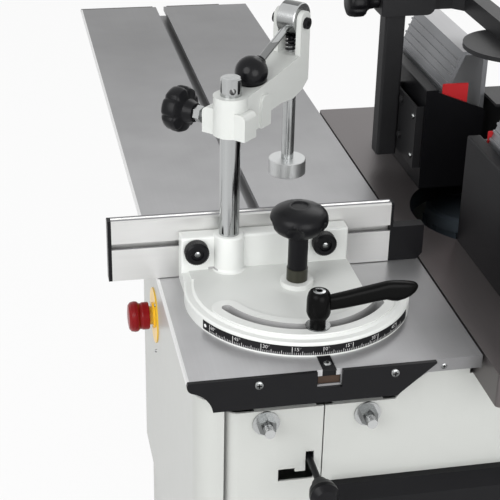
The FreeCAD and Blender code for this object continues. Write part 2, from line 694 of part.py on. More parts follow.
def belt():
    """Flat belt round both pulleys."""
    z0 = sum(PULLEY_Z) / 2 - BELT_W / 2

    def loop(extra):
        a, b = PULLEY_RS + extra, PULLEY_RM + extra
        dist = math.hypot(MOTOR_X, MOTOR_Y)
        tilt = math.atan2(MOTOR_Y, MOTOR_X)
        lean = math.acos((a - b) / dist)
        pts = []
        for r, c, t in ((a, V(0, 0, z0), tilt + lean), (b, V(MOTOR_X, MOTOR_Y, z0), tilt + lean),
                        (b, V(MOTOR_X, MOTOR_Y, z0), tilt - lean), (a, V(0, 0, z0), tilt - lean)):
            pts.append(c + V(r * math.cos(t), r * math.sin(t), 0))
        far = V(MOTOR_X, MOTOR_Y, z0) + V(b * math.cos(tilt), b * math.sin(tilt), 0)
        near = V(0, 0, z0) - V(a * math.cos(tilt), a * math.sin(tilt), 0)
        wire = Part.Wire([Part.LineSegment(pts[0], pts[1]).toShape(), Part.Arc(pts[1], far, pts[2]).toShape(),
                          Part.LineSegment(pts[2], pts[3]).toShape(), Part.Arc(pts[3], near, pts[0]).toShape()])
        return Part.Face(wire).extrude(V(0, 0, BELT_W))
    return loop(FREE + BELT_T).cut(loop(FREE))


save("spindle_carrier", carrier())
save("spindle_bearings", bearing(CARRIER_Z[0] + 2), bearing(CARRIER_Z[1] - 6 - BEARING_T))
save("motor", motor())
save("drive_belt", belt())

# Spindle with its collar, the stack of rings and the nut, and both pulleys
collar_z = CARRIER_Z[1] + 6
z0, z1 = CARRIER_Z
spin_low = TABLE_Z - SPIN_DROP
save("spindle_shaft", turned([(0, spin_low), (SPIN_R, spin_low), (SPIN_R, z0 - 2), (JOURNAL_R, z0 - 2),
                              (JOURNAL_R, collar_z),
                              (COLLAR_R, collar_z), (COLLAR_R, collar_z + COLLAR_T), (SPIN_R, collar_z + COLLAR_T),
                              (SPIN_R, SPIN_TOP - 2), (SPIN_R - 2, SPIN_TOP), (0, SPIN_TOP)], V(0, 0, 0)))
rings = []
z = collar_z + COLLAR_T
for t in RING_T:
    rings.append(tube(COLLAR_R, SPIN_R + RUN, (0, 0, z), (0, 0, z + t)))
    z += t
spin_nut = hexagon(46, z, z + SPIN_NUT_T, V(0, 0, 0)).cut(rod(SPIN_R + RUN, (0, 0, z - 1), (0, 0, z + 40)))
save("spindle_rings", *(rings + [spin_nut]))


def pulley(radius, bore, at):
    (a, b), lip = PULLEY_Z, 3.5
    return turned([(bore, a), (radius + 7, a), (radius + 7, a + lip), (radius, a + lip + 0.5), (radius, b - lip - 0.5),
                   (radius + 7, b - lip), (radius + 7, b), (bore, b)], at)


save("spindle_pulley", pulley(PULLEY_RS, SPIN_R + RUN, V(0, 0, 0)))
motor_at = V(MOTOR_X, MOTOR_Y, 0)
motor_shaft = rod(12, (MOTOR_X, MOTOR_Y, PULLEY_Z[0] - 4), (MOTOR_X, MOTOR_Y, CARRIER_Z[0] + 30))
save("motor_pulley", motor_shaft, pulley(PULLEY_RM, 12 + RUN, motor_at))

# Guide columns, bottom bracket, lifting screw and the bevel gear pair to the handwheel
save("guide_columns", *[rod(COLUMN_R, (x, COLUMN_Y, BRACKET_Z[0]), (x, COLUMN_Y, TABLE_Z - MAIN_SKIN))
                        for x in (-COLUMN_X, COLUMN_X)])


def bracket():
    b0, b1 = BRACKET_Z
    body = rounded(box(-COLUMN_X - 26, COLUMN_X + 26, COLUMN_Y - 26, COLUMN_Y + 26, b0, b1), 12, upright)
    body = body.fuse(box(GEAR_ARM_X, GEAR_ARM_X + 16, COLUMN_Y - 26, COLUMN_Y + 26, gear_z - 24, b0))
    for x in (-COLUMN_X, COLUMN_X):
        body = body.cut(rod(COLUMN_R + 0.02, (x, COLUMN_Y, b0 + 0.0), (x, COLUMN_Y, b1 + 1)))
    body = body.cut(rod(SCREW_R + RUN, (0, COLUMN_Y, b0 - 1), (0, COLUMN_Y, b1 + 1)))
    arm_x0, arm_x1 = GEAR_ARM_X - 1, GEAR_ARM_X + 17
    return body.cut(rod(SHAFT_R + RUN, (arm_x0, COLUMN_Y, gear_z), (arm_x1, COLUMN_Y, gear_z))).removeSplitter()


def bevel(phase):
    """Straight bevel gear, axis Z, apex at the origin, big end up; teeth narrow towards the apex."""
    n, r = GEAR_TEETH, GEAR_R
    small = (r - GEAR_FACE) / r
    add, ded = 1.3, 1.9
    ring = []
    for i in range(n):
        for part, rad in ((-0.30, -ded), (-0.13, add), (0.13, add), (0.30, -ded)):
            a = 2 * math.pi * (i + part + phase) / n
            ring.append(((r + rad * 0.707) * math.cos(a), (r + rad * 0.707) * math.sin(a), r - rad * 0.707))
    big = [V(*p) for p in ring]
    low = [p * small for p in big]
    faces = []
    for i in range(len(big)):
        j = (i + 1) % len(big)
        faces.append(Part.Face(Part.makePolygon([low[i], low[j], big[j], low[i]])))
        faces.append(Part.Face(Part.makePolygon([low[i], big[j], big[i], low[i]])))
    top, bottom = V(0, 0, r + 1.0), V(0, 0, small * r - 1.0)
    for i in range(len(big)):
        j = (i + 1) % len(big)
        faces.append(Part.Face(Part.makePolygon([big[i], big[j], top, big[i]])))
        faces.append(Part.Face(Part.makePolygon([low[j], low[i], bottom, low[j]])))
    solid = Part.Solid(Part.Shell(faces))
    if solid.Volume < 0:
        solid.reverse()
    return solid


apex = V(0, COLUMN_Y, gear_z)
gear_b = bevel(0.0)
gear_b.translate(apex)
hub_b = rod(16, (0, COLUMN_Y, gear_z + GEAR_R - 4), (0, COLUMN_Y, BRACKET_Z[0] - FREE))
screw = rod(SCREW_R, (0, COLUMN_Y, gear_z + GEAR_R - 4), (0, COLUMN_Y, TABLE_Z - SCREW_DROP))
collar = rod(16, (0, COLUMN_Y, BRACKET_Z[1] + FREE), (0, COLUMN_Y, BRACKET_Z[1] + 12))
save("lift_screw", gear_b.fuse(hub_b).fuse(screw).fuse(collar).removeSplitter())
gear_a = bevel(0.5)
gear_a.Placement = FreeCAD.Placement(apex, FreeCAD.Rotation(V(0, 1, 0), 90))
wheel_x = BODY_X + WHEEL_OUT
shaft = rod(SHAFT_R, (GEAR_R - 4, COLUMN_Y, gear_z), (wheel_x + 8, COLUMN_Y, gear_z))
hub_a = rod(16, (GEAR_R - 4, COLUMN_Y, gear_z), (GEAR_ARM_X - FREE, COLUMN_Y, gear_z))
save("handwheel_shaft", gear_a.fuse(hub_a).fuse(shaft).removeSplitter())
save("screw_bracket", bracket())


# Handwheel with three dished spokes and a free turning grip
def handwheel():
    turn = [math.pi / 5 * i for i in range(10)]
    mid = WHEEL_R - WHEEL_RIM
    rim = turned([(mid + WHEEL_RIM * math.cos(a), WHEEL_RIM * math.sin(a)) for a in turn], V(0, 0, 0))
    hub = rod(20, (0, 0, -14), (0, 0, 16))
    body = rim.fuse(hub)
    for i in range(3):
        spoke = along_y([(12, -6), (WHEEL_R - WHEEL_RIM, -4), (WHEEL_R - WHEEL_RIM, 5), (12, 10)], -8, 8)
        spoke.rotate(V(0, 0, 0), UP, 120 * i + 60)
        body = body.fuse(spoke)
    body = body.fuse(rod(8, (WHEEL_R - WHEEL_RIM, 0, 0), (WHEEL_R - WHEEL_RIM, 0, 14)))
    pin = rod(5, (WHEEL_R - WHEEL_RIM, 0, 10), (WHEEL_R - WHEEL_RIM, 0, 14 + GRIP_L - 10))
    body = body.fuse(pin).cut(rod(SHAFT_R + RUN, (0, 0, -20), (0, 0, 8)))
    return body.removeSplitter()


wheel_place = FreeCAD.Placement(V(wheel_x, COLUMN_Y, gear_z), FreeCAD.Rotation(V(0, 1, 0), 90))
wheel = handwheel()
wheel.Placement = wheel_place
save("handwheel", wheel)
g = GRIP_R
grip = turned([(5 + RUN, 14 + FREE), (g - 4, 14 + FREE), (g - 3, 20), (g, 44), (g - 2, 66), (g - 7, 14 + GRIP_L),
               (0, 14 + GRIP_L), (0, 14 + GRIP_L - 9), (5 + RUN, 14 + GRIP_L - 9)], V(WHEEL_R - WHEEL_RIM, 0, 0))
grip.Placement = wheel_place.multiply(grip.Placement)
save("handwheel_grip", grip)


# Fence halves on the outfeed side; the infeed side is the mirror image
def board():
    z0 = TABLE_Z + LIFT
    plate = box(-FENCE_END, -GAP_HALF, BOARD_Y0, fence_y1, z0, TABLE_Z + BOARD_H)
    cheek = along_x([(fence_y1, z0), (PROFILE_Y1, z0), (PROFILE_Y1, TABLE_Z + 118), (fence_y1, TABLE_Z + 146)],
                    -GAP_HALF - CHEEK, -GAP_HALF)
    length = FENCE_END - GAP_HALF
    return rounded(fuse(plate, cheek), 2, lambda e: e.BoundBox.XLength > length / 2 and e.BoundBox.ZMin > TABLE_Z + 100)


def profile():
    z0, z1 = TABLE_Z + LIFT, TABLE_Z + PROFILE_H
    y0, y1 = fence_y1, PROFILE_Y1
    x0, x1 = -FENCE_END, -GAP_HALF - CHEEK - PLATE_GAP
    slope0, slope1 = V(0, y0, TABLE_Z + 120), V(0, -32, z1)
    out = [(y0, z0), (y0, slope0.z)]
    step = (slope1 - slope0) * (1.0 / 8)
    side = V(0, -step.z, step.y).normalize() * 2.2
    for i in range(1, 7):
        a = slope0 + step * (i + 0.5)
        for p in (a, a + side, a + step * 0.25 + side, a + step * 0.25):
            out.append((p.y, p.z))
    out += [(slope1.y, slope1.z), (y1 - 4, z1), (y1, z1 - 5), (y1, z0)]
    solid = along_x(out, x0, x1)
    t = PROFILE_T
    core = [(y0 + t, z0 + t), (y0 + t, slope0.z - 2), (slope1.y + 4, z1 - t), (y1 - t - 2, z1 - t), (y1 - t, z0 + t)]
    return solid.cut(along_x(core, x0 - 1, x1 + 1))


save("outfeed_board", board())
save("outfeed_profile", profile())
save("infeed_board", mirrored(board()))
save("infeed_profile", mirrored(profile()))


# Dust hood: rail plates behind the fences, a curved back, a top and the outlet
def hood():
    """Hood of welded plates: two sides, a round back, a roof, a hose collar, two flanges and two slotted feet."""
    z0, z1 = TABLE_Z, TABLE_Z + HOOD_H
    y0, y1 = PROFILE_Y1 + LIFT, HOOD_Y1
    h, t = HOOD_HALF, HOOD_T
    mid = V(0, y1, z0)
    disc = Part.makeCylinder(h, HOOD_H, mid, UP, 180)
    back = disc.cut(Part.makeCylinder(h - t, HOOD_H, mid))
    roof = box(-h + t, h - t, y0, y1, z1 - t, z1).fuse(Part.makeCylinder(h - t, t, V(0, y1, z1 - t), UP, 180))
    roof = roof.cut(rod(46, (0, 0, z0), (0, 0, z1 + 1)))
    zc, far = z0 + PORT_Z, y1 + h
    bore = rod(PORT_R - PORT_T, (0, y1, zc), (0, far + PORT_L, zc))
    port = rod(PORT_R + 5, (0, y1, zc), (0, far + 4, zc)).fuse(rod(PORT_R, (0, y1, zc), (0, far - 30 + PORT_L, zc)))
    port = port.cut(disc).cut(bore)
    pieces = [back.cut(bore), roof.removeSplitter(), port.removeSplitter()]
    for s in (-1, 1):
        xa, xb = sorted((s * (h - t), s * h))
        pieces.append(box(xa, xb, y0, y1, z0, z1))
        xa, xb = sorted((s * h, s * (FENCE_END + 20)))
        pieces.append(box(xa, xb, y0, y0 + 10, z0, z1))
        xa, xb = sorted((s * h, s * (h + 40)))
        slot = box(s * (h + 20) - 6, s * (h + 20) + 6, 60, 170, z0 - 1, z0 + 9)
        foot = box(xa, xb, 40, 190, z0, z0 + 8).cut(slot)
        pieces.append(foot.cut(disc))
    return pieces


save("hood_shell", *hood())

# Presser: hat bracket on the outfeed board, square post, clamping block, guard arm and knob
px0, px1 = PRESS_X
bx0, bx1 = BRACKET_X
bz0, bz1 = TABLE_Z + BRACKET_H[0], TABLE_Z + BRACKET_H[1]
by0 = BOARD_Y0 - BRACKET_D
hat = [(bx0, BOARD_Y0), (bx0, by0), (bx1, by0), (bx1, BOARD_Y0), (bx1 - 3, BOARD_Y0), (bx1 - 3, by0 + 3),
       (bx0 + 3, by0 + 3), (bx0 + 3, BOARD_Y0)]
save("presser_bracket", along_z(hat, bz0, bz1))
py0 = by0 - PRESS_T
post_z1 = TABLE_Z + BLOCK_Z[1] - 6
post = rounded(box(px0, px1, py0, by0, TABLE_Z + PRESS_Z0, post_z1), 4, upright)
post_in = box(px0 + 3, px1 - 3, py0 + 3, by0 - 3, TABLE_Z + PRESS_Z0 + 4, post_z1 + 1)
save("presser_post", post.cut(post_in))
cz0, cz1 = TABLE_Z + BLOCK_Z[0], TABLE_Z + BLOCK_Z[1]
block = box(px0 - 7, px1 + 7, py0 - 8, by0 + 40, cz0, cz1)
block = rounded(block, 12, lambda e: e.BoundBox.YMin > by0 + 39 and e.BoundBox.XLength > 20)
block = rounded(block, 4, lambda e: upright(e) and e.BoundBox.YMax < py0)
block = block.cut(box(px0 - FREE, px1 + FREE, py0 - FREE, by0 + FREE, cz0 - 1, cz1 + 1))
mid_x = (px0 + px1) / 2
knob_z = (cz0 + cz1) / 2
stem_hole = rod(5 + RUN, (mid_x, py0 - 20, knob_z), (mid_x, py0, knob_z))
save("presser_block", block.cut(stem_hole))
az0, az1 = TABLE_Z + ARM_Z[0], TABLE_Z + ARM_Z[1]
half = ARM_W / 2
elbow = [(mid_x - half, by0 + 40), (mid_x + half, by0 + 40), (mid_x + half, -half - 14), (mid_x + half + 14, -half),
         (half, -half), (half, half), (mid_x, half), (mid_x - half, 0)]
guard = rod(GUARD_R, (0, 0, az0 - 5), (0, 0, az0 + 1))
save("guard_arm", fuse(along_z(elbow, az0, az1), guard))
k = PRESS_KNOB_R
press_rz = [(0, -7.4), (5, -7.4), (5, 1), (10, 1), (11, 16), (k - 2, 20), (k, 26), (k, 40), (k - 3, 46), (0, 48)]
press_knob = turned(press_rz, V(mid_x, py0 - 8, knob_z), OUTWARD)
for i in range(6):
    a = math.radians(60 * i + 30)
    at = V(mid_x + (k + 4) * math.cos(a), py0 - 8, knob_z + (k + 4) * math.sin(a))
    press_knob = press_knob.cut(rod(7, (at.x, at.y - 17, at.z), (at.x, at.y - 60, at.z)))
save("presser_knob", press_knob)


# Mitre gauge: T-bar with pivot stud and pointer, in the pivot's own axes
def slide_bar():
    half, wide = SLOT_W / 2 - FREE, SLOT_TW / 2 - FREE
    lip, deep = -SLOT_LIP - FREE, -SLOT_DEEP + FREE
    end = QUAD_R + FREE
    yz = [(-half, -FREE), (-half, lip), (-wide, lip), (-wide, deep), (wide, deep), (wide, lip), (half, lip),
          (half, -FREE)]
    bar = along_x(yz, -40, PIVOT_BACK - CAP_T - 1)
    bar = bar.fuse(rod(PIVOT_STUD_R, (0, 0, -4), (0, 0, KNOB_Z0 + 14)))
    bar = bar.cut(rod(LEVER_STUD_R + RUN, (ARC_R, 0, -16), (ARC_R, 0, 1)))
    pointer = box(end, PIVOT_BACK - 2, -half, half, -FREE, 1.0)
    return bar.removeSplitter(), rounded(pointer, 0.8, lambda e: e.BoundBox.ZMin > 0.9)


def sector(r0, r1, a0, a1, z0, z1):
    """Part of a ring between two angles in degrees."""
    ring = Part.makeCylinder(r1, z1 - z0, V(0, 0, z0), UP, a1 - a0)
    if r0 > 0:
        ring = ring.cut(Part.makeCylinder(r0, z1 - z0, V(0, 0, z0)))
    ring.rotate(V(0, 0, 0), UP, a0)
    return ring


def arc_bar(half, z0, z1):
    """Bent bar with round ends along the arc slot."""
    bar = sector(ARC_R - half, ARC_R + half, ARC_A0, ARC_A1, z0, z1)
    for a in (ARC_A0, ARC_A1):
        x, y = ARC_R * math.cos(math.radians(a)), ARC_R * math.sin(math.radians(a))
        bar = bar.fuse(rod(half, (x, y, z0), (x, y, z1)))
    return bar


def fence_wall():
    """Upright block behind the quadrant, its top edges rounded, with the post boss grown out of it."""
    back = WALL_X - WALL_T
    wall = box(back, WALL_X, WALL_Y0, WALL_Y1, 0, WALL_H)
    wall = rounded(wall, 3, lambda e: e.BoundBox.ZMin > WALL_H - 1 or (upright(e) and e.BoundBox.XMin > WALL_X - 1))
    r, h = BOSS_R, BOSS_H
    boss = turned([(0, 0), (r + 3, 0), (r + 3, QUAD_FLOOR), (r + 1, QUAD_FLOOR + 1.5), (r, QUAD_FLOOR + 4), (r, h - 2),
                   (r - 2, h), (0, h)], V(POST_X, POST_Y, 0))
    boss = boss.cut(box(back - 50, back, -200, 200, -1, BOSS_H + 1))
    return wall.fuse(boss)


def quadrant():
    back = WALL_X - WALL_T
    plate = turned([(0, 0), (QUAD_R, 0), (QUAD_R, QUAD_RIM - 2), (QUAD_R - 2, QUAD_RIM), (RIM_R, QUAD_RIM),
                    (RIM_R - 3, QUAD_FLOOR), (0, QUAD_FLOOR)], V(0, 0, 0))
    side_x = -math.sqrt(QUAD_R ** 2 - WALL_Y0 ** 2)
    inset = QUAD_R - RIM_R
    side = box(back, side_x, WALL_Y0, 0, 0, QUAD_RIM).fuse(box(back, side_x, WALL_Y0 + inset, 0, 0, QUAD_FLOOR))
    body = plate.fuse(side).fuse(arc_bar(BAND_W, QUAD_FLOOR - 1, QUAD_BAND))
    body = body.cut(box(-200, back, -200, 200, -1, 50)).cut(box(-200, 22, WALL_Y1, 200, -1, 50))
    body = body.fuse(fence_wall()).fuse(rod(RING_R, (0, 0, QUAD_FLOOR - 1), (0, 0, RING_H)))
    body = body.cut(sector(RING_R + 10, ARC_R - BAND_W - 4, ARC_A0, ARC_A1, -1, QUAD_FLOOR - 7))
    body = body.cut(rod(PIVOT_STUD_R + RUN, (0, 0, -1), (0, 0, 40)))
    body = body.cut(rod(POST_R + RUN, (POST_X, POST_Y, 8), (POST_X, POST_Y, 100)))
    body = body.cut(arc_bar(ARC_W / 2, -1, 30))
    for y in KNURL_Y:
        body = body.cut(rod(LEVER_STUD_R + HOLE, (back - 1, y, FENCE_SLOT_Z), (WALL_X + 1, y, FENCE_SLOT_Z)))
    return body.removeSplitter()


bar, pointer = slide_bar()
save("slide_bar", moved(bar, pivot), moved(pointer, pivot))
save("mitre_quadrant", moved(quadrant(), pivot))


def pivot_knob():
    bore, s, r, z0, z1 = PIVOT_STUD_R + RUN, KNOB_SHANK_R, KNOB_R, KNOB_Z0, KNOB_Z1
    body = turned([(bore, RING_H), (s + 1, RING_H), (s, RING_H + 2), (s, z0 - 8), (s + 3, z0 - 2), (r - 12, z0 + 2),
                   (r - 4, z0 + 8), (r, z0 + 15), (r, z0 + 21), (r - 4, z0 + 28), (r - 12, z0 + 33), (10, z1),
                   (8, z1 - 2), (0, z1 - 2), (0, z0 + 15), (bore, z0 + 15)], V(0, 0, 0))
    for i in range(5):
        a = math.radians(72 * i - 21)
        x, y = (r + 8) * math.cos(a), (r + 8) * math.sin(a)
        body = body.cut(rod(11, (x, y, z0 - 4), (x, y, z1 + 2)))
    return body


def clamp_lever():
    base, r, top = QUAD_BAND, LEVER_HUB_R, LEVER_HUB_Z
    neck = r - 4.7
    hub = turned([(0, base), (r, base), (r, base + 1.5), (neck, base + 1.5), (neck, base + 8), (r - 1, base + 15),
                  (r, base + 18), (r, top - 12), (r - 3, top), (0, top)], V(0, 0, 0))
    yz = [(4, 42), (82, 50.5), (88, 47.5), (104, 51), (114, 58), (116.5, 64), (112, 70), (84, 73), (50, 67.5), (4, 60)]
    arm = along_x(yz, -6.5, 6.5)
    arm = rounded(arm, 2.5, lambda e: e.BoundBox.XLength < 1e-6 and e.BoundBox.YMax > 10)
    return fuse(hub, arm, rod(LEVER_STUD_R, (0, 0, -15), (0, 0, base + 1)))


save("pivot_knob", moved(pivot_knob(), pivot))
save("clamp_lever", moved(clamp_lever(), pivot + V(ARC_R, 0, 0)))


# Mitre fence extrusion with its front slot, end caps and splinter block
def mitre_fence():
    x1, x0 = FENCE_X, FENCE_X - FENCE_T
    zs, hw = FENCE_SLOT_Z, FENCE_SLOT_W / 2
    xz = [(x0, FENCE_Z0), (x1, FENCE_Z0), (x1, zs - hw), (x1 - 3, zs - hw), (x1 - 3, zs - hw - 3), (x1 - 9, zs - hw - 3),
          (x1 - 9, zs + hw + 3), (x1 - 3, zs + hw + 3), (x1 - 3, zs + hw), (x1, zs + hw), (x1, FENCE_Z1 - 2),
          (x1 - 2, FENCE_Z1), (x1 - 6, FENCE_Z1), (x1 - 7, FENCE_Z1 - 2), (x1 - 9, FENCE_Z1 - 2), (x1 - 10, FENCE_Z1),
          (x0 + 2, FENCE_Z1), (x0, FENCE_Z1 - 2)]
    body = along_y(xz, FENCE_Y0, FENCE_Y1)
    for z0, z1 in ((FENCE_Z0 + 3, zs - hw - 6), (zs + hw + 6, FENCE_Z1 - 6)):
        body = body.cut(box(x0 + 3, x1 - 3, FENCE_Y0, FENCE_Y1, z0, z1))
    return body


fx0, fx1 = FENCE_X - FENCE_T, FENCE_X
cap_xz = [(fx0, FENCE_Z0), (fx1, FENCE_Z0), (fx1, FENCE_Z1 - 2), (fx1 - 2, FENCE_Z1), (fx0 + 2, FENCE_Z1),
          (fx0, FENCE_Z1 - 2)]
cap_a = along_y(cap_xz, FENCE_Y0 - FENCE_CAP0, FENCE_Y0)
cap_b = along_y(cap_xz, FENCE_Y1, FENCE_Y1 + FENCE_CAP1)
sy0 = FENCE_Y1 + FENCE_CAP1
sy1 = sy0 + SPLINT_L
splint = along_x([(sy0, FENCE_Z0), (sy1 - 7, FENCE_Z0), (sy1, FENCE_Z0 + 8), (sy1, SPLINT_Z1), (sy0, SPLINT_Z1)],
                 fx0, fx1)
save("mitre_fence", moved(mitre_fence(), pivot))
save("fence_end_pieces", *[moved(s, pivot) for s in (cap_a, cap_b, splint)])


def fence_knob(y):
    x0 = WALL_X + FREE
    r, t = KNURL_R, KNURL_T
    body = turned([(0, 0), (r - 1, 0), (r, 1), (r, t - 2), (r - 2, t), (8, t), (7, t - 3), (0, t - 3)],
                  V(x0, y, FENCE_SLOT_Z), V(1, 0, 0))
    stud = rod(LEVER_STUD_R - 1, (FENCE_X - 7, y, FENCE_SLOT_Z), (x0 + 1, y, FENCE_SLOT_Z))
    return fuse(body, stud)


save("fence_knob_left", moved(fence_knob(KNURL_Y[0]), pivot))
save("fence_knob_right", moved(fence_knob(KNURL_Y[1]), pivot))


# Hold-down in its own axes: X along the arm, Z up from the table, the post at the origin
def placed(shape):
    return moved(shape, post_at, ARM_DEG)


hold_post = turned([(0, 8), (POST_R, 8), (POST_R, POST_TOP - 1.5), (POST_R - 1.5, POST_TOP), (0, POST_TOP)],
                   V(0, 0, 0))
hole_z = POST_TOP - 14
hold_post = hold_post.cut(rod(4.0, (-20, -20, hole_z), (20, 20, hole_z)))
save("hold_down_post", placed(hold_post))
cheek_out = CAM_T / 2 + FREE + CHEEK_T
rod_dir = V(math.cos(math.radians(ROD_DEG)), 0, math.sin(math.radians(ROD_DEG)))
cam_at = V(REACH, 0, CAM_Z)
ball_c = cam_at + rod_dir * BALL_AT


def arm_web():
    """Side outline of the arm, from the clamp to the tip of the fork."""
    tip, low = REACH + FORK_R, CLAMP_Z0 + 1
    return along_y([(5, low), (54, low), (58, low + 15), (80, low + 17), (107, low + 15), (128, low + 21), (tip, low + 31),
                    (tip, FORK_Z), (116, FORK_Z), (63, FORK_Z - 10), (20, CLAMP_Z1 + 1), (5, CLAMP_Z1 - 1)],
                   -cheek_out, cheek_out)


def fork_cheek(y0, y1):
    """One side of the fork with a round top."""
    mid_z = CHEEK_Z1 - FORK_R
    cheek = box(REACH - FORK_R, REACH + FORK_R, y0, y1, FORK_Z - 1, mid_z)
    return cheek.fuse(rod(FORK_R, (REACH, y0, mid_z), (REACH, y1, mid_z)))


def hold_arm():
    body = rod(CLAMP_R, (0, 0, CLAMP_Z0), (0, 0, CLAMP_Z1))
    ears = box(-EAR_BACK, EAR_X, -EAR_Y, EAR_Y, CLAMP_Z0, EAR_Z1)
    ears = rounded(ears, 7, lambda e: e.BoundBox.XLength > EAR_X and e.BoundBox.ZMin > EAR_Z1 - 1)
    body = body.fuse(ears).fuse(arm_web())
    inner = CAM_T / 2 + FREE
    for s in (-1, 1):
        y0, y1 = sorted((s * inner, s * cheek_out))
        body = body.fuse(fork_cheek(y0, y1))
        y0, y1 = sorted((s * (cheek_out - 1), s * (cheek_out + 3.5)))
        rib = box(32, 52, y0, y1, CLAMP_Z0 + 1, CLAMP_Z1 - 7)
        body = body.fuse(rounded(rib, 9, lambda e: e.BoundBox.YLength > 4 and e.BoundBox.ZMin > CLAMP_Z1 - 8))
    body = body.cut(Part.makeSphere(BALL_R + 1.2, ball_c))
    body = body.cut(rod(POST_R + RUN, (0, 0, CLAMP_Z0 - 1), (0, 0, CLAMP_Z1 + 1)))
    step_z = FORK_Z - 9.5
    body = body.cut(rod(PLUNGER_R + RUN, (REACH, 0, 150), (REACH, 0, step_z)))
    body = body.cut(rod(STEM_R + RUN, (REACH, 0, step_z - 1), (REACH, 0, FORK_Z + 1)))
    body = body.cut(rod(PIN_R + RUN, (REACH, -40, CAM_Z), (REACH, 40, CAM_Z)))
    return body.cut(rod(5 + RUN, (0, 10, STAR_Z), (0, 60, STAR_Z))).removeSplitter()


save("hold_down_arm", placed(hold_arm()))


def star_knob():
    r, hub_y = STAR_R, STAR_NUT_Y + 10
    body = turned([(0, POST_R + 0.6), (5, POST_R + 0.6), (5, hub_y), (11.5, hub_y), (14, hub_y + 6), (14.5, STAR_Y0),
                   (r - 2, STAR_Y0 + 2), (r, STAR_Y0 + 6), (r, STAR_Y1 - 8), (r - 5, STAR_Y1 - 2), (10, STAR_Y1),
                   (0, STAR_Y1)], V(0, 0, STAR_Z), V(0, 1, 0))
    for i in range(7):
        a = 2 * math.pi * i / 7 + 0.2
        x, z = (r + 6) * math.cos(a), STAR_Z + (r + 6) * math.sin(a)
        body = body.cut(rod(9.5, (x, STAR_Y0 - 8, z), (x, STAR_Y1 + 2, z)))
    nut = hexagon(17, STAR_NUT_Y, hub_y, V(0, 0, STAR_Z), V(0, 1, 0))
    return body.fuse(nut).removeSplitter()


save("star_knob", placed(star_knob()))

pin = rod(PIN_R, (REACH, -cheek_out - 2, CAM_Z), (REACH, cheek_out + 2, CAM_Z))
pin_head = rod(7, (REACH, -cheek_out - 4, CAM_Z), (REACH, -cheek_out, CAM_Z))
pin_nut = rod(7, (REACH, cheek_out, CAM_Z), (REACH, cheek_out + 5, CAM_Z))
save("cam_pin", placed(fuse(pin, pin_head, pin_nut)))

# The cam centre lies up and away from the rod, so lifting the rod by a right angle lowers it
ecc = cam_at + V(CAM_E, 0, CAM_E) * math.sqrt(0.5)
half = CAM_T / 2
cam = turned([(0, -half), (CAM_R - 1, -half), (CAM_R, 1 - half), (CAM_R, half - 1), (CAM_R - 1, half),
              (0, half)], ecc, V(0, 1, 0))
cam_rod_a, cam_rod_b = cam_at + rod_dir * 12, cam_at + rod_dir * (BALL_AT - 4)
cam = cam.fuse(rod(ROD_R, tuple(cam_rod_a), tuple(cam_rod_b)))
cam = cam.cut(rod(PIN_R + RUN, (REACH, -30, CAM_Z), (REACH, 30, CAM_Z)))
save("cam_lever", placed(cam.removeSplitter()))


def ball_knob():
    """Ball with a short collar where the rod is pressed in."""
    r, bore, collar = BALL_R, ROD_R + 0.02, 7.5
    last = math.acos(collar / r)
    arc = [-math.pi / 2 + (last + math.pi / 2) * i / 12 for i in range(13)]
    rz = [(r * math.cos(a), r * math.sin(a)) for a in arc]
    rz[0] = (0, -r)
    rz += [(collar, r + 2), (bore, r + 2), (bore, 4), (0, 4)]
    return turned(rz, ball_c, rod_dir * -1)


save("ball_knob", placed(ball_knob()))

cam_low = ecc.z - CAM_R
head_z = cam_low - 0.4
step_z = FORK_Z - 16
plunger = turned([(0, FOOT_Z0 + 12), (PLUNGER_R, FOOT_Z0 + 12), (PLUNGER_R, step_z), (STEM_R, step_z),
                  (STEM_R, head_z - HEAD_T), (HEAD_R, head_z - HEAD_T), (HEAD_R, head_z - 1), (HEAD_R - 1, head_z),
                  (0, head_z)], V(REACH, 0, 0))
save("plunger", placed(plunger))
f, bore = FOOT_R, PLUNGER_R + 0.02
foot = turned([(0, FOOT_Z0), (f - 1, FOOT_Z0), (f, FOOT_Z0 + 1), (f, FOOT_Z1 - 1), (f - 1, FOOT_Z1), (bore, FOOT_Z1),
               (bore, FOOT_Z0 + 12), (0, FOOT_Z0 + 12)], V(REACH, 0, 0))
save("foot_pad", placed(foot))


# Return spring: one wire, eight-sided in section, on arcs of a quarter turn, between the fork floor and the plunger head
def biarc(p0, t0, p1, t1):
    """Two arcs that leave p0 along t0 and reach p1 along t1."""
    v, t = p1 - p0, t0 + t1
    c = 1 - t0.dot(t1)
    d = (-v.dot(t) + math.sqrt(v.dot(t) ** 2 + 2 * c * v.dot(v))) / (2 * c)
    joint = (p0 + p1 + (t0 - t1) * d) * 0.5
    out = []
    for a, tan, b in ((p0, t0, joint), (p1, t1 * -1, joint)):
        chord = b - a
        half = chord * 0.5
        side = (half - tan * half.dot(tan))
        bulge = tan * half.Length - half.normalize() * tan.dot(half.normalize()) * half.Length
        angle = math.acos(max(-1.0, min(1.0, tan.dot(chord.normalize()))))
        height = (b - a).Length * 0.5 * math.tan(angle / 2)
        normal = (tan - chord * tan.dot(chord)).normalize()
        mid = (a + b) * 0.5 + normal * height
        out.append((a, mid, b))
    (a, m, b), (e, n, g) = out
    return [Part.Arc(a, m, b).toShape(), Part.Arc(g, n, e).toShape()]


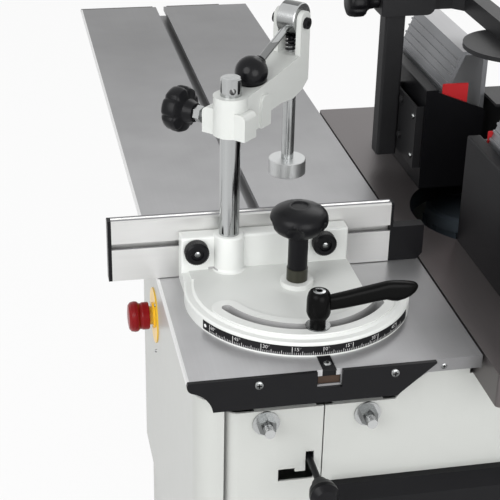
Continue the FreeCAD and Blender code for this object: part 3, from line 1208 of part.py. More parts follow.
def spring():
    low, high = FORK_Z + WIRE_R + 0.2, head_z - HEAD_T - WIRE_R - 0.2
    n = int(SPRING_TURNS * 4)
    rise = (high - low) / n

    def at(i):
        a = math.pi / 2 * i
        p = V(SPRING_R * math.cos(a), SPRING_R * math.sin(a), low + rise * i)
        t = V(-SPRING_R * math.pi / 2 * math.sin(a), SPRING_R * math.pi / 2 * math.cos(a), rise).normalize()
        return p, t
    edges = []
    for i in range(n):
        (p0, t0), (p1, t1) = at(i), at(i + 1)
        edges += biarc(p0, t0, p1, t1)
    path = Part.Wire(edges)
    p, t = at(0)
    out, side = V(1, 0, 0), t.cross(V(1, 0, 0))
    turn = [math.pi / 4 * i for i in range(9)]
    ring = Part.makePolygon([p + out * (WIRE_R * math.cos(a)) + side * (WIRE_R * math.sin(a)) for a in turn])
    wire = path.makePipeShell([ring], True, False)
    print("spring gap between turns", round(rise * 4 - 2 * WIRE_R, 2))
    wire.translate(V(REACH, 0, 0))
    return wire


save("return_spring", placed(spring()))
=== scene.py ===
import json
import math

import bmesh
import bpy
from mathutils import Matrix, Vector


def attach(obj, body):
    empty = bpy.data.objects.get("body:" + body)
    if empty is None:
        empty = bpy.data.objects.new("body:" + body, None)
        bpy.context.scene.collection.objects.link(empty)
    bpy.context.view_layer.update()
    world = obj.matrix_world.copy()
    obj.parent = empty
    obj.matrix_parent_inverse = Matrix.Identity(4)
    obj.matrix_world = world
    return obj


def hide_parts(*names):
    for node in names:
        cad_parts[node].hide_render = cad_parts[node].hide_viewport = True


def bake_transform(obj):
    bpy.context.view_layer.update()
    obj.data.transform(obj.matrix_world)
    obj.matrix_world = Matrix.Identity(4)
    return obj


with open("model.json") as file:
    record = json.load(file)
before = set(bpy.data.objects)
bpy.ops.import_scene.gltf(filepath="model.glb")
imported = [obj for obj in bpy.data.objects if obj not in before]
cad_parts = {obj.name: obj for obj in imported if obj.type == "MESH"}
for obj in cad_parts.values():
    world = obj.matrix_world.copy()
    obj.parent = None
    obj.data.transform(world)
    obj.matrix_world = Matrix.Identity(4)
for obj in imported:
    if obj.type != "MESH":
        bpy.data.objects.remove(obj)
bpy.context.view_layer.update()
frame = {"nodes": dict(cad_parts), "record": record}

bl_info = {
    "name": "Spindle Moulder Looks",
    "version": (1, 0, 0),
    "blender": (4, 2, 0),
    "location": "View3D > Sidebar > Moulder",
    "description": "Finishes, trim and studio for the spindle moulder frame",
    "category": "Object",
}

MM = 0.001
UP = Vector((0, 0, 1))
BLACK = (0.0, 0.0, 0.0, 1.0)
WHITE = (1.0, 1.0, 1.0, 1.0)

# Feet of the mitre pivot and the hold-down post on the table top, in mm
PIVOT = (204.0, -332.0, 880.0)
POST = (148.0, -406.0, 880.0)

# Places in metres that the finishes refer to
PIVOT_XY = (PIVOT[0] * MM, PIVOT[1] * MM)
POST_XY = (POST[0] * MM, POST[1] * MM)
SPINDLE_XY = (0.0, 0.0)
GAUGE_BAND_TOP = 0.9035

# Upward share of a face's normal: above the first it looks up, within the second it stands, and the shade
# under a piece grows from the third to the last
LOOKS_UP = 0.9
STANDS = 0.5
UNDER_FROM = 0.35
UNDER_TO = -0.45

# Edges that turn more than this stay sharp on a smooth piece
SHARP_DEG = 35

# Depth of the bumps in metres, and roughness of every clear coat
BUMP_DEPTH = 0.0006
COAT_ROUGH = 0.12


# Shader building
class Sock:
    """A node's output that can be used in sums; node() adds any other node."""

    def __init__(self, tree, out):
        self.tree = tree
        self.out = out

    def node(self, kind, out=0, props=None, **inputs):
        made = self.tree.nodes.new(kind)
        for key, value in (props or {}).items():
            setattr(made, key, value)
        for key, value in inputs.items():
            put(self.tree, made.inputs[key.replace("_", " ")], value)
        return Sock(self.tree, made.outputs[out])

    def math(self, op, a, b=0.0):
        made = self.tree.nodes.new("ShaderNodeMath")
        made.operation = op
        put(self.tree, made.inputs[0], a)
        put(self.tree, made.inputs[1], b)
        return Sock(self.tree, made.outputs[0])

    def __add__(self, other):
        return self.math("ADD", self, other)

    def __radd__(self, other):
        return self.math("ADD", other, self)

    def __sub__(self, other):
        return self.math("SUBTRACT", self, other)

    def __rsub__(self, other):
        return self.math("SUBTRACT", other, self)

    def __mul__(self, other):
        return self.math("MULTIPLY", self, other)

    def __rmul__(self, other):
        return self.math("MULTIPLY", other, self)


def put(tree, socket, value):
    """Link a socket, or set its value."""
    if isinstance(value, Sock):
        tree.links.new(value.out, socket)
    else:
        socket.default_value = value


def material(name):
    """An empty node material: its tree, its principled node and its object coordinates."""
    made = bpy.data.materials.new(name)
    made.use_nodes = True
    tree = made.node_tree
    shader = tree.nodes["Principled BSDF"]
    coords = tree.nodes.new("ShaderNodeTexCoord")
    return made, tree, shader, Sock(tree, coords.outputs["Object"])


def stretched(where, scale):
    """Object coordinates scaled by a vector, for brushed streaks, and on the post for streaks of painted
    reflection.
    """
    return where.node("ShaderNodeMapping", Scale=scale, Vector=where)


def shade(where, low, high, factor):
    """A colour between two colours."""
    made = where.tree.nodes.new("ShaderNodeMix")
    made.data_type = "RGBA"
    put(where.tree, made.inputs[0], factor)
    put(where.tree, made.inputs[6], low)
    put(where.tree, made.inputs[7], high)
    return Sock(where.tree, made.outputs[2])


def plain_sight(tree):
    """1 for what the camera sees, directly, in a mirror or through glass."""
    path = tree.nodes.new("ShaderNodeLightPath")
    camera, mirror, glass = (Sock(tree, path.outputs["Is %s Ray" % kind])
                             for kind in ("Camera", "Glossy", "Transmission"))
    return camera + mirror + glass


def tone(color, gain=1.0):
    """A colour made lighter or darker, with its alpha."""
    return tuple(min(1.0, c * gain) for c in color[:3]) + (1.0,)


def coordinate(vector, axis):
    """One part of a vector socket."""
    return Sock(vector.tree, vector.node("ShaderNodeSeparateXYZ", Vector=vector).out.node.outputs[axis])


def ramp(value, start, end):
    """0 at start and 1 at end, straight between them."""
    return value.node("ShaderNodeMapRange", Value=value, From_Min=start, From_Max=end)


def dimmed(where, base, depth, part):
    """A colour that loses a share of its light over a part of the surface."""
    return shade(where, base, shade(where, base, BLACK, depth), part)


def spread(where, axis, low, high):
    """1 where one of the object coordinates lies between two values in metres."""
    value = coordinate(where, axis)
    return where.math("GREATER_THAN", value, low) * where.math("LESS_THAN", value, high)


def round_band(where, centre, low, high):
    """1 where the distance from an upright axis lies between two radii in metres."""
    x, y = (coordinate(where, i) - centre[i] for i in range(2))
    square = x * x + y * y
    return where.math("GREATER_THAN", square, low * low) * where.math("LESS_THAN", square, high * high)


def finish(name, color, rough, metal=0.0, coat=0.0, spec=0.5, vary=0.06, grain=40.0, bump=0.0,
           bump_grain=900.0, streak=None, wear=0.08, top=None, top_metal=None, under=None, fade=None,
           corner=None, bore=None, blotch=None, rings=(), stripes=()):
    """One finish: a colour that varies a little, uneven roughness and a fine bump. Places are in metres.

    top: colour of faces that look up, and top_metal their metal share; on the zinc finishes a painted
    highlight or reflection
    under: painted shade, the colour of faces that look down
    blotch: grain and depth of soft stains
    fade: painted shade, from a start to an end along X, and the share of light left at the end
    corner: painted shade, over ranges along X and Y in which the colour darkens, and how much
    bore: painted shade on upright walls, given as a centre, two radii, a ceiling and a colour
    rings: painted shade on the gauge's floor, each a centre, two radii, a start along X and a colour
    stripes: each an axis, a start, an end, a colour, and whether only faces that look up take it
    """
    made, tree, shader, where = material(name)
    source = stretched(where, streak) if streak else where
    noise = where.node("ShaderNodeTexNoise", "Fac", Vector=source, Scale=grain, Detail=4.0)
    base = shade(where, tone(color, 1 - vary), tone(color, 1 + vary), noise)
    upward = coordinate(Sock(tree, where.out.node.outputs["Normal"]), 2)
    flat = where.math("GREATER_THAN", upward, LOOKS_UP)
    if top:
        base = shade(where, base, shade(where, tone(top, 1 - vary), tone(top, 1 + vary), noise), flat)
    # Painted shade on faces that look down
    if under:
        base = shade(where, base, tone(under), ramp(upward, UNDER_FROM, UNDER_TO))
    if blotch:
        size, depth = blotch
        stain = where.node("ShaderNodeTexNoise", "Fac", Vector=where, Scale=size, Detail=3.0)
        base = dimmed(where, base, depth, stain)
    # Painted shade that grows along X
    if fade:
        start, end, gain = fade
        base = dimmed(where, base, 1.0 - gain, ramp(coordinate(where, 0), start, end))
    # Painted shade towards a corner
    if corner:
        along_x, along_y, depth = corner
        part = ramp(coordinate(where, 0), *along_x) * ramp(coordinate(where, 1), *along_y)
        base = dimmed(where, base, depth, part)
    # Painted shade on upright walls round an axis
    if bore:
        centre, low, high, ceiling, dark = bore
        upright = where.math("LESS_THAN", where.math("ABSOLUTE", upward), STANDS)
        walls = upright * spread(where, 2, 0.0, ceiling)
        base = shade(where, base, tone(dark), round_band(where, centre, low, high) * walls)
    # Painted shade in rings on the gauge's floor
    for centre, low, high, start, paint in rings:
        here = spread(where, 0, start, 1.0) * spread(where, 2, 0.0, GAUGE_BAND_TOP)
        base = shade(where, base, tone(paint), round_band(where, centre, low, high) * here)
    for axis, low, high, paint, up_only in stripes:
        here = spread(where, axis, low, high)
        base = shade(where, base, tone(paint), here * flat if up_only else here)
    put(tree, shader.inputs["Base Color"], base)
    put(tree, shader.inputs["Roughness"], (noise - 0.5) * wear + rough)
    if top_metal is None:
        shader.inputs["Metallic"].default_value = metal
    else:
        put(tree, shader.inputs["Metallic"], flat * (top_metal - metal) + metal)
    shader.inputs["Coat Weight"].default_value = coat
    shader.inputs["Coat Roughness"].default_value = COAT_ROUGH
    shader.inputs["Specular IOR Level"].default_value = spec
    if bump:
        fine = where.node("ShaderNodeTexNoise", "Fac", Vector=source, Scale=bump_grain, Detail=2.0)
        raised = where.node("ShaderNodeBump", Height=fine, Strength=bump, Distance=BUMP_DEPTH)
        put(tree, shader.inputs["Normal"], raised)
    return made


# A colour given as a word is one of the colour settings
FINISHES = {
    "white_paint": dict(color="paint", rough=0.38, coat=0.15, vary=0.015, bump=0.10, bump_grain=700.0),
    # The hold-down's darker paint is painted shade on the gauge's paint
    "cast_white": dict(color="hold_down", rough=0.40, coat=0.15, vary=0.02, bump=0.18, bump_grain=420.0),
    # Painted shade on the mitre gauge: the walls of its arc slot are darker, a thin darker ring lies where
    # the band meets the floor, and the floor is a little darker than the band
    "slotted_white": dict(color="casting", rough=0.40, coat=0.15, vary=0.02, bump=0.18, bump_grain=420.0,
                          bore=(PIVOT_XY, 0.0998, 0.1132, GAUGE_BAND_TOP, (0.40, 0.40, 0.40)),
                          rings=((PIVOT_XY, 0.0862, 0.0884, 0.252, (0.58, 0.59, 0.575)),),
                          stripes=((2, 0.8994, 0.9007, (0.66, 0.675, 0.655), True),)),
    "alu": dict(color=(0.60, 0.60, 0.61), rough=0.34, metal=0.85, vary=0.04, streak=(1.0, 40.0, 40.0),
                grain=6.0),
    # Painted light on the sliding table: it darkens along X towards its far end and towards its near corner
    # by the main table as painted dark reflection, and a band along its outer edge is a painted highlight
    "table_alu": dict(color=(0.58, 0.58, 0.59), rough=0.36, metal=0.55, vary=0.05, blotch=(9.0, 0.35),
                      streak=(0.6, 60.0, 60.0), grain=6.0, fade=(0.36, -0.8, 0.37),
                      corner=((0.05, 0.3), (-0.34, -0.2), 0.58),
                      stripes=((1, -0.6, -0.4900, (0.72, 0.72, 0.72), False),)),
    "fence_alu": dict(color=(0.62, 0.62, 0.61), rough=0.34, metal=0.75, vary=0.03,
                      streak=(40.0, 0.8, 40.0), grain=6.0, top=(0.20, 0.20, 0.21), top_metal=0.2,
                      stripes=((0, 0.1183, 0.1227, (0.02, 0.02, 0.02), True),
                               (0, 0.1145, 0.1155, (0.04, 0.04, 0.04), True))),
    "alu_ribbed": dict(color=(0.20, 0.205, 0.215), rough=0.42, metal=0.55, vary=0.05,
                       streak=(0.6, 40.0, 40.0), grain=6.0, top=(0.46, 0.46, 0.47), top_metal=0.3),
    # The upright walls of the spindle opening are painted near black as shade
    "cast": dict(color="cast_iron", rough=0.34, metal=0.7, vary=0.10, streak=(2.0, 70.0, 2.0), grain=9.0,
                 bore=(SPINDLE_XY, 0.0, 0.1175, 0.8805, (0.003, 0.003, 0.003))),
    "steel": dict(color=(0.45, 0.45, 0.46), rough=0.28, metal=1.0, vary=0.05),
    "brown_steel": dict(color=(0.055, 0.033, 0.022), rough=0.45, metal=0.6, vary=0.2, grain=200.0),
    # Faces that look down take painted shade, a dark reflection under each piece
    "zinc": dict(color=(0.36, 0.37, 0.37), rough=0.22, metal=1.0, vary=0.10, grain=120.0,
                 under=(0.05, 0.052, 0.052)),
    # Painted light on the rod ends: faces that look up take a painted highlight, faces that look down painted
    # shade, and the washers and bare stud ends are painted brighter as highlights
    "rod_zinc": dict(color=(0.30, 0.31, 0.31), rough=0.20, metal=1.0, vary=0.10, grain=120.0,
                     top=(0.62, 0.63, 0.63), under=(0.04, 0.042, 0.042),
                     stripes=((0, 0.3399, 0.3426, (0.46, 0.47, 0.47), False),
                              (0, 0.3527, 0.3700, (0.55, 0.56, 0.56), False))),
    "bright_zinc": dict(color=(0.44, 0.45, 0.45), rough=0.24, metal=1.0, vary=0.06, grain=90.0),
    # Painted light on the post: its strong vertical streaks of light and dark are painted reflection, and the
    # walls and floor of the hole in its top are painted dark as shade
    "post_zinc": dict(color=(0.44, 0.45, 0.45), rough=0.14, metal=1.0, vary=0.30, grain=150.0,
                      streak=(1.0, 1.0, 0.004), bore=(POST_XY, 0.0, 0.0117, 1.1400, (0.02, 0.02, 0.02)),
                      stripes=((2, 1.1285, 1.1395, (0.02, 0.02, 0.02), True),)),
    # Painted reflection on the cam: faces that look up and down are painted dark, which leaves a bright band
    # between; the lower part, the rod, is a darker zinc
    "cam_zinc": dict(color=(0.46, 0.47, 0.47), rough=0.24, metal=1.0, vary=0.06, grain=90.0,
                     top=(0.15, 0.155, 0.155), under=(0.14, 0.145, 0.14),
                     stripes=((2, 1.0, 1.1675, (0.22, 0.225, 0.225), False),)),
    # The plunger's head, inside the spring, is painted near black as shade
    "plunger_zinc": dict(color=(0.42, 0.43, 0.43), rough=0.22, metal=0.9, vary=0.06, grain=90.0,
                         stripes=((2, 1.155, 1.3, (0.01, 0.01, 0.011), False),)),
    "matt_zinc": dict(color=(0.56, 0.57, 0.57), rough=0.36, metal=0.9, vary=0.05, streak=(1.0, 1.0, 60.0),
                      grain=20.0),
    "black_plastic": dict(color="black", rough=0.32, spec=0.14, vary=0.10, bump=0.12, bump_grain=1200.0),
    "gloss_black": dict(color="black", rough=0.22, spec=0.16, vary=0.05),
    "lever_black": dict(color=(0.003, 0.003, 0.003), rough=0.26, spec=0.06, vary=0.05),
    "black_paint": dict(color=(0.016, 0.016, 0.017), rough=0.40, spec=0.16, vary=0.10, bump=0.10,
                        bump_grain=900.0),
    "red_plastic": dict(color="red", rough=0.30, spec=0.16, coat=0.06, vary=0.04),
    "yellow_plastic": dict(color=(0.85, 0.52, 0.02), rough=0.32, coat=0.2, vary=0.03),
    "rubber": dict(color=(0.012, 0.012, 0.012), rough=0.7, spec=0.2, vary=0.1),
    "motor_grey": dict(color=(0.12, 0.15, 0.18), rough=0.45, vary=0.04, bump=0.15),
    "white_mark": dict(color=(0.80, 0.80, 0.80), rough=0.5, vary=0.02),
    "scale_black": dict(color="black", rough=0.45, spec=0.2, vary=0.05),
    # Painted shade for recesses and sockets that are drawn as thin pieces instead of cut
    "dark_hole": dict(color=(0.004, 0.004, 0.004), rough=0.8, spec=0.1, vary=0.02),
    "olive_collar": dict(color=(0.035, 0.035, 0.024), rough=0.35, metal=0.4, vary=0.05),
    "red_guard": dict(color="guard_red", rough=0.42, vary=0.03),
}
# Nodes whose finish isn't the one named after their slot
NODE_FINISH = {"sliding_table": "table_alu", "mitre_fence": "fence_alu", "foot_pad": "matt_zinc",
               "cam_pin": "black_plastic", "table_end_caps": "black_plastic", "plunger": "plunger_zinc",
               "mitre_quadrant": "slotted_white", "cam_lever": "cam_zinc", "guide_rods": "rod_zinc",
               "hold_down_post": "post_zinc"}
MATS = {}


def mat(name):
    """The material of a finish, made on its first use."""
    if name not in MATS:
        values = dict(FINISHES[name])
        if isinstance(values["color"], str):
            values["color"] = tuple(getattr(bpy.context.scene.moulder_colours, values["color"]))
        MATS[name] = finish(name, **values)
    return MATS[name]


# Mesh building, in mm in the part's frame
def heading(deg):
    """Level direction at an angle from X."""
    a = math.radians(deg)
    return Vector((math.cos(a), math.sin(a), 0))


def added(name, data):
    """An object that holds some data, put in the scene."""
    made = bpy.data.objects.new(name, data)
    bpy.context.scene.collection.objects.link(made)
    return made


def new_piece(name, bm, finish_name, smooth=True):
    """A piece of the scene from a mesh in mm."""
    mesh = bpy.data.meshes.new(name)
    bmesh.ops.scale(bm, vec=(MM, MM, MM), verts=bm.verts)
    bmesh.ops.recalc_face_normals(bm, faces=bm.faces)
    bm.to_mesh(mesh)
    bm.free()
    for poly in mesh.polygons:
        poly.use_smooth = smooth
    if smooth:
        mesh.set_sharp_from_angle(angle=math.radians(SHARP_DEG))
    mesh.materials.append(mat(finish_name))
    return added(name.replace(" ", "_"), mesh)


def skin(bm, rings):
    """Join each ring of points to the next and close both ends; a ring may be a single point."""
    count = max(len(ring) for ring in rings)
    for low, high in zip(rings, rings[1:]):
        for i in range(count):
            j = (i + 1) % count
            corners = (low[i % len(low)], low[j % len(low)], high[j % len(high)], high[i % len(high)])
            face = list(dict.fromkeys(corners))
            if len(face) > 2:
                bm.faces.new(face)
    for ring in (rings[0], rings[-1]):
        if len(ring) > 2:
            bm.faces.new(ring)


def turn(bm, profile, at, axis=UP, segments=32, wave=None):
    """Add a solid of revolution from (radius, height) points along an axis.

    wave, where given, bends each radius by its angle and height.
    """
    spin = UP.rotation_difference(Vector(axis).normalized()).to_matrix()
    rings = []
    for r, h in profile:
        if r <= 0:
            rings.append([bm.verts.new(Vector(at) + spin @ Vector((0, 0, h)))])
            continue
        ring = []
        for i in range(segments):
            a = 2 * math.pi * i / segments
            ra = wave(r, a, h) if wave else r
            ring.append(bm.verts.new(Vector(at) + spin @ Vector((ra * math.cos(a), ra * math.sin(a), h))))
        rings.append(ring)
    skin(bm, rings)


def soft_lobes(count, depth, hub, fade, sharpness, start=0.0):
    """A wave for a hand knob: dips round its rim that fade out towards its hub."""
    def wave(r, a, h):
        dip = max(0.0, math.cos(count * a + start)) ** sharpness
        return r - depth * dip * min(1.0, max(0.0, (r - hub) / fade))
    return wave


def turned(name, finish_name, *shape):
    """A piece that is one solid of revolution."""
    bm = bmesh.new()
    turn(bm, *shape)
    return new_piece(name, bm, finish_name)


def slab(bm, low, high):
    """Add a box between two corners."""
    low, high = Vector(low), Vector(high)
    for v in bmesh.ops.create_cube(bm, size=1.0)["verts"]:
        v.co = Vector([low[i] + (v.co[i] + 0.5) * (high[i] - low[i]) for i in range(3)])


def screw_head(bm, at, axis, r, h):
    """A domed screw head, standing on a face."""
    turn(bm, [(r, 0), (r, h * 0.35), (r * 0.86, h * 0.75), (r * 0.5, h), (0, h * 1.05)], at, axis, 20)


def cross_recess(bm, r, h):
    """The cross recess in the top of a screw head that stands on the origin, drawn as a raised cross of
    painted shade.
    """
    for long, wide in ((r * 0.55, r * 0.13), (r * 0.13, r * 0.55)):
        slab(bm, (-long, -wide, h * 0.8), (long, wide, h * 1.08))


def hex_head(bm, at, axis, across, h):
    """A hexagon head of a width across its flats."""
    r = across / math.sqrt(3)
    turn(bm, [(r, 0), (r, h * 0.85), (r * 0.86, h), (0, h)], at, axis, 6)


def new_tree(name, **kinds):
    """A geometry node tree with named inputs and a finish: its inputs by name."""
    tree = bpy.data.node_groups.new(name, "GeometryNodeTree")
    tree.interface.new_socket("Geometry", in_out="OUTPUT", socket_type="NodeSocketGeometry")
    kinds["Finish"] = "Material"
    for key, kind in kinds.items():
        tree.interface.new_socket(key, in_out="INPUT", socket_type="NodeSocket" + kind)
    given = tree.nodes.new("NodeGroupInput")
    return {key: Sock(tree, given.outputs[key]) for key in kinds}


def painted(shape, paint):
    """End a tree: its copies made real and given the finish."""
    real = shape.node("GeometryNodeRealizeInstances", Geometry=shape)
    done = shape.node("GeometryNodeSetMaterial", Geometry=real, Material=paint)
    put(shape.tree, shape.tree.nodes.new("NodeGroupOutput").inputs[0], done)
    return shape.tree


def ring_tree():
    """Geometry nodes: a box repeated on an arc about Z."""
    given = new_tree("Boxes on an arc", Count="Int", Start="Float", Step="Float", Radius="Float",
                     Height="Float", Size="Vector")
    node = given["Count"].node
    angle = given["Start"] + node("GeometryNodeInputIndex") * given["Step"]
    x = angle.math("COSINE", angle) * given["Radius"]
    y = angle.math("SINE", angle) * given["Radius"]
    place = node("ShaderNodeCombineXYZ", X=x, Y=y, Z=given["Height"])
    points = node("GeometryNodePoints", Count=given["Count"], Position=place)
    box = node("GeometryNodeMeshCube", Size=given["Size"])
    spin = node("ShaderNodeCombineXYZ", Z=angle)
    copies = node("GeometryNodeInstanceOnPoints", Points=points, Instance=box, Rotation=spin)
    return painted(copies, given["Finish"])


def heads_tree():
    """Geometry nodes: one head copied to every point and turned to an axis."""
    given = new_tree("Heads on points", Points="Geometry", Head="Object", Axis="Vector")
    node = given["Points"].node
    head = node("GeometryNodeObjectInfo", "Geometry", Object=given["Head"])
    aim = node("FunctionNodeAlignRotationToVector", Vector=given["Axis"])
    copies = node("GeometryNodeInstanceOnPoints", Points=given["Points"], Instance=head, Rotation=aim)
    return painted(copies, given["Finish"])


def thread_tree():
    """Geometry nodes: a screw thread as a round wire wound about Z."""
    given = new_tree("Thread", Turns="Float", Radius="Float", Length="Float", Wire="Float")
    node = given["Turns"].node
    wind = node("GeometryNodeCurveSpiral", Resolution=24, Rotations=given["Turns"], Height=given["Length"],
                Start_Radius=given["Radius"], End_Radius=given["Radius"])
    section = node("GeometryNodeCurvePrimitiveCircle", Resolution=6, Radius=given["Wire"])
    wire = node("GeometryNodeCurveToMesh", Curve=wind, Profile_Curve=section, Fill_Caps=True)
    return painted(wire, given["Finish"])


TREES = {}


def grown(name, make_tree, points=(), place=None, **inputs):
    """Run a node tree once and keep the result as a plain mesh, moved by a matrix in metres."""
    if make_tree not in TREES:
        TREES[make_tree] = make_tree()
    tree = TREES[make_tree]
    start = bpy.data.meshes.new(name + " points")
    start.from_pydata([tuple(Vector(point) * MM) for point in points], [], [])
    seed = added(name + " points", start)
    mod = seed.modifiers.new("Grow", "NODES")
    mod.node_group = tree
    names = {item.name: item.identifier for item in tree.interface.items_tree if item.in_out == "INPUT"}
    for key, value in inputs.items():
        mod[names[key]] = value
    seed.update_tag()
    graph = bpy.context.evaluated_depsgraph_get()
    mesh = bpy.data.meshes.new_from_object(seed.evaluated_get(graph))
    bpy.data.objects.remove(seed)
    if place:
        mesh.transform(place)
    return added(name.replace(" ", "_"), mesh)


def heads(name, body, make_head, points, axis, finish_name="zinc", smooth=True):
    """Copies of one head at points in mm, facing along an axis."""
    bm = bmesh.new()
    make_head(bm)
    head = new_piece(name + " head", bm, finish_name, smooth)
    piece = grown(name, heads_tree, points, Head=head, Axis=Vector(axis), Finish=mat(finish_name))
    bpy.data.objects.remove(head)
    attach(piece, body)


# Settings
class MoulderTrim(bpy.types.PropertyGroup):
    pivot: bpy.props.FloatVectorProperty(
        name="Pivot", description="Mitre pivot on the table top, mm", size=3, default=PIVOT)
    rim_radius: bpy.props.FloatProperty(
        name="Rim radius", description="Outer radius of the quadrant, mm", default=137.0)
    scale_from: bpy.props.FloatProperty(
        name="Scale from", description="First end of the angle scale, degrees", default=-65.4)
    scale_to: bpy.props.FloatProperty(
        name="Scale to", description="Last end of the angle scale, degrees", default=58.0)
    ticks_left: bpy.props.IntProperty(
        name="Left marks", description="Degree marks left of zero", default=60)
    ticks_right: bpy.props.IntProperty(
        name="Right marks", description="Degree marks right of zero", default=50)
    post: bpy.props.FloatVectorProperty(
        name="Post", description="Hold-down post on the table top, mm", size=3, default=POST)
    arm_deg: bpy.props.FloatProperty(
        name="Arm angle", description="Direction of the hold-down arm, degrees", default=135.0)
    arc_radius: bpy.props.FloatProperty(
        name="Arc radius", description="Clamp lever from the pivot, mm", default=106.5)
    presser_knob: bpy.props.FloatVectorProperty(
        name="Presser knob", description="Foot of the presser's knob, mm", size=3,
        default=(-180.0, -132.0, 1133.0))
    scallop_deg: bpy.props.FloatProperty(
        name="Scallop angle", description="Turn of the pivot knob's scallops, degrees", default=21.0)
    scallop_at: bpy.props.FloatProperty(
        name="Scallop place", description="Scallop middles from the knob's axis, mm", default=37.5)
    scallop_radius: bpy.props.FloatProperty(
        name="Scallop radius", description="Radius of a scallop, mm", default=12.0)
    knurl_count: bpy.props.IntProperty(
        name="Knurl count", description="Ridges round a fence knob", default=36)


def colour(name, description, default):
    """A colour setting."""
    return bpy.props.FloatVectorProperty(name=name, description=description, size=3, default=default, min=0.0,
                                         max=1.0, subtype="COLOR")


class MoulderColours(bpy.types.PropertyGroup):
    paint: colour("Cabinet paint", "Paint of the cabinet sheets", (0.45, 0.46, 0.44))
    casting: colour("Casting paint", "Paint of the mitre gauge", (0.72, 0.735, 0.715))
    # The hold-down's paint is the gauge's paint in a darker tone, as painted shade
    hold_down: colour("Hold-down paint", "Paint of the hold-down arm", (0.57, 0.585, 0.565))
    cast_iron: colour("Cast iron", "Ground top of the main table", (0.125, 0.113, 0.113))
    black: colour("Black", "Plastic and painted black pieces", (0.006, 0.006, 0.007))
    red: colour("Stop red", "Stop button", (0.22, 0.003, 0.005))
    guard_red: colour("Guard red", "Guard plates", (0.50, 0.012, 0.016))


class MoulderStage(bpy.types.PropertyGroup):
    camera_at: bpy.props.FloatVectorProperty(
        name="Camera", description="Camera place in metres", size=3, default=(1.551, -0.673, 1.654),
        subtype="TRANSLATION")
    yaw: bpy.props.FloatProperty(name="Yaw", description="Camera heading, degrees", default=-11.83)
    pitch: bpy.props.FloatProperty(
        name="Pitch", description="Camera tilt below the horizon, degrees", default=27.08)
    roll: bpy.props.FloatProperty(name="Roll", description="Camera roll, degrees", default=1.26)
    lens: bpy.props.FloatProperty(name="Lens", description="Focal length on a 36 mm sensor, mm", default=93.5)
    floor_tone: bpy.props.FloatProperty(
        name="Floor tone", description="Brightness of the floor", default=0.92)
    light: bpy.props.FloatProperty(name="Light", description="Gain of all lamps", default=1.0)


# Operators
class MOULDER_OT_finishes(bpy.types.Operator):
    """Give every CAD node its procedural finish"""
    bl_idname = "moulder.finishes"
    bl_label = "Finishes"

    def execute(self, context):
        slots = {row["node"]: row["material_slot"] for row in frame["record"]["subparts"]}
        for name, node in frame["nodes"].items():
            made = mat(NODE_FINISH.get(name, slots[name]))
            if not node.material_slots:
                node.data.materials.append(made)
            for slot in node.material_slots:
                slot.material = made
        return {"FINISHED"}


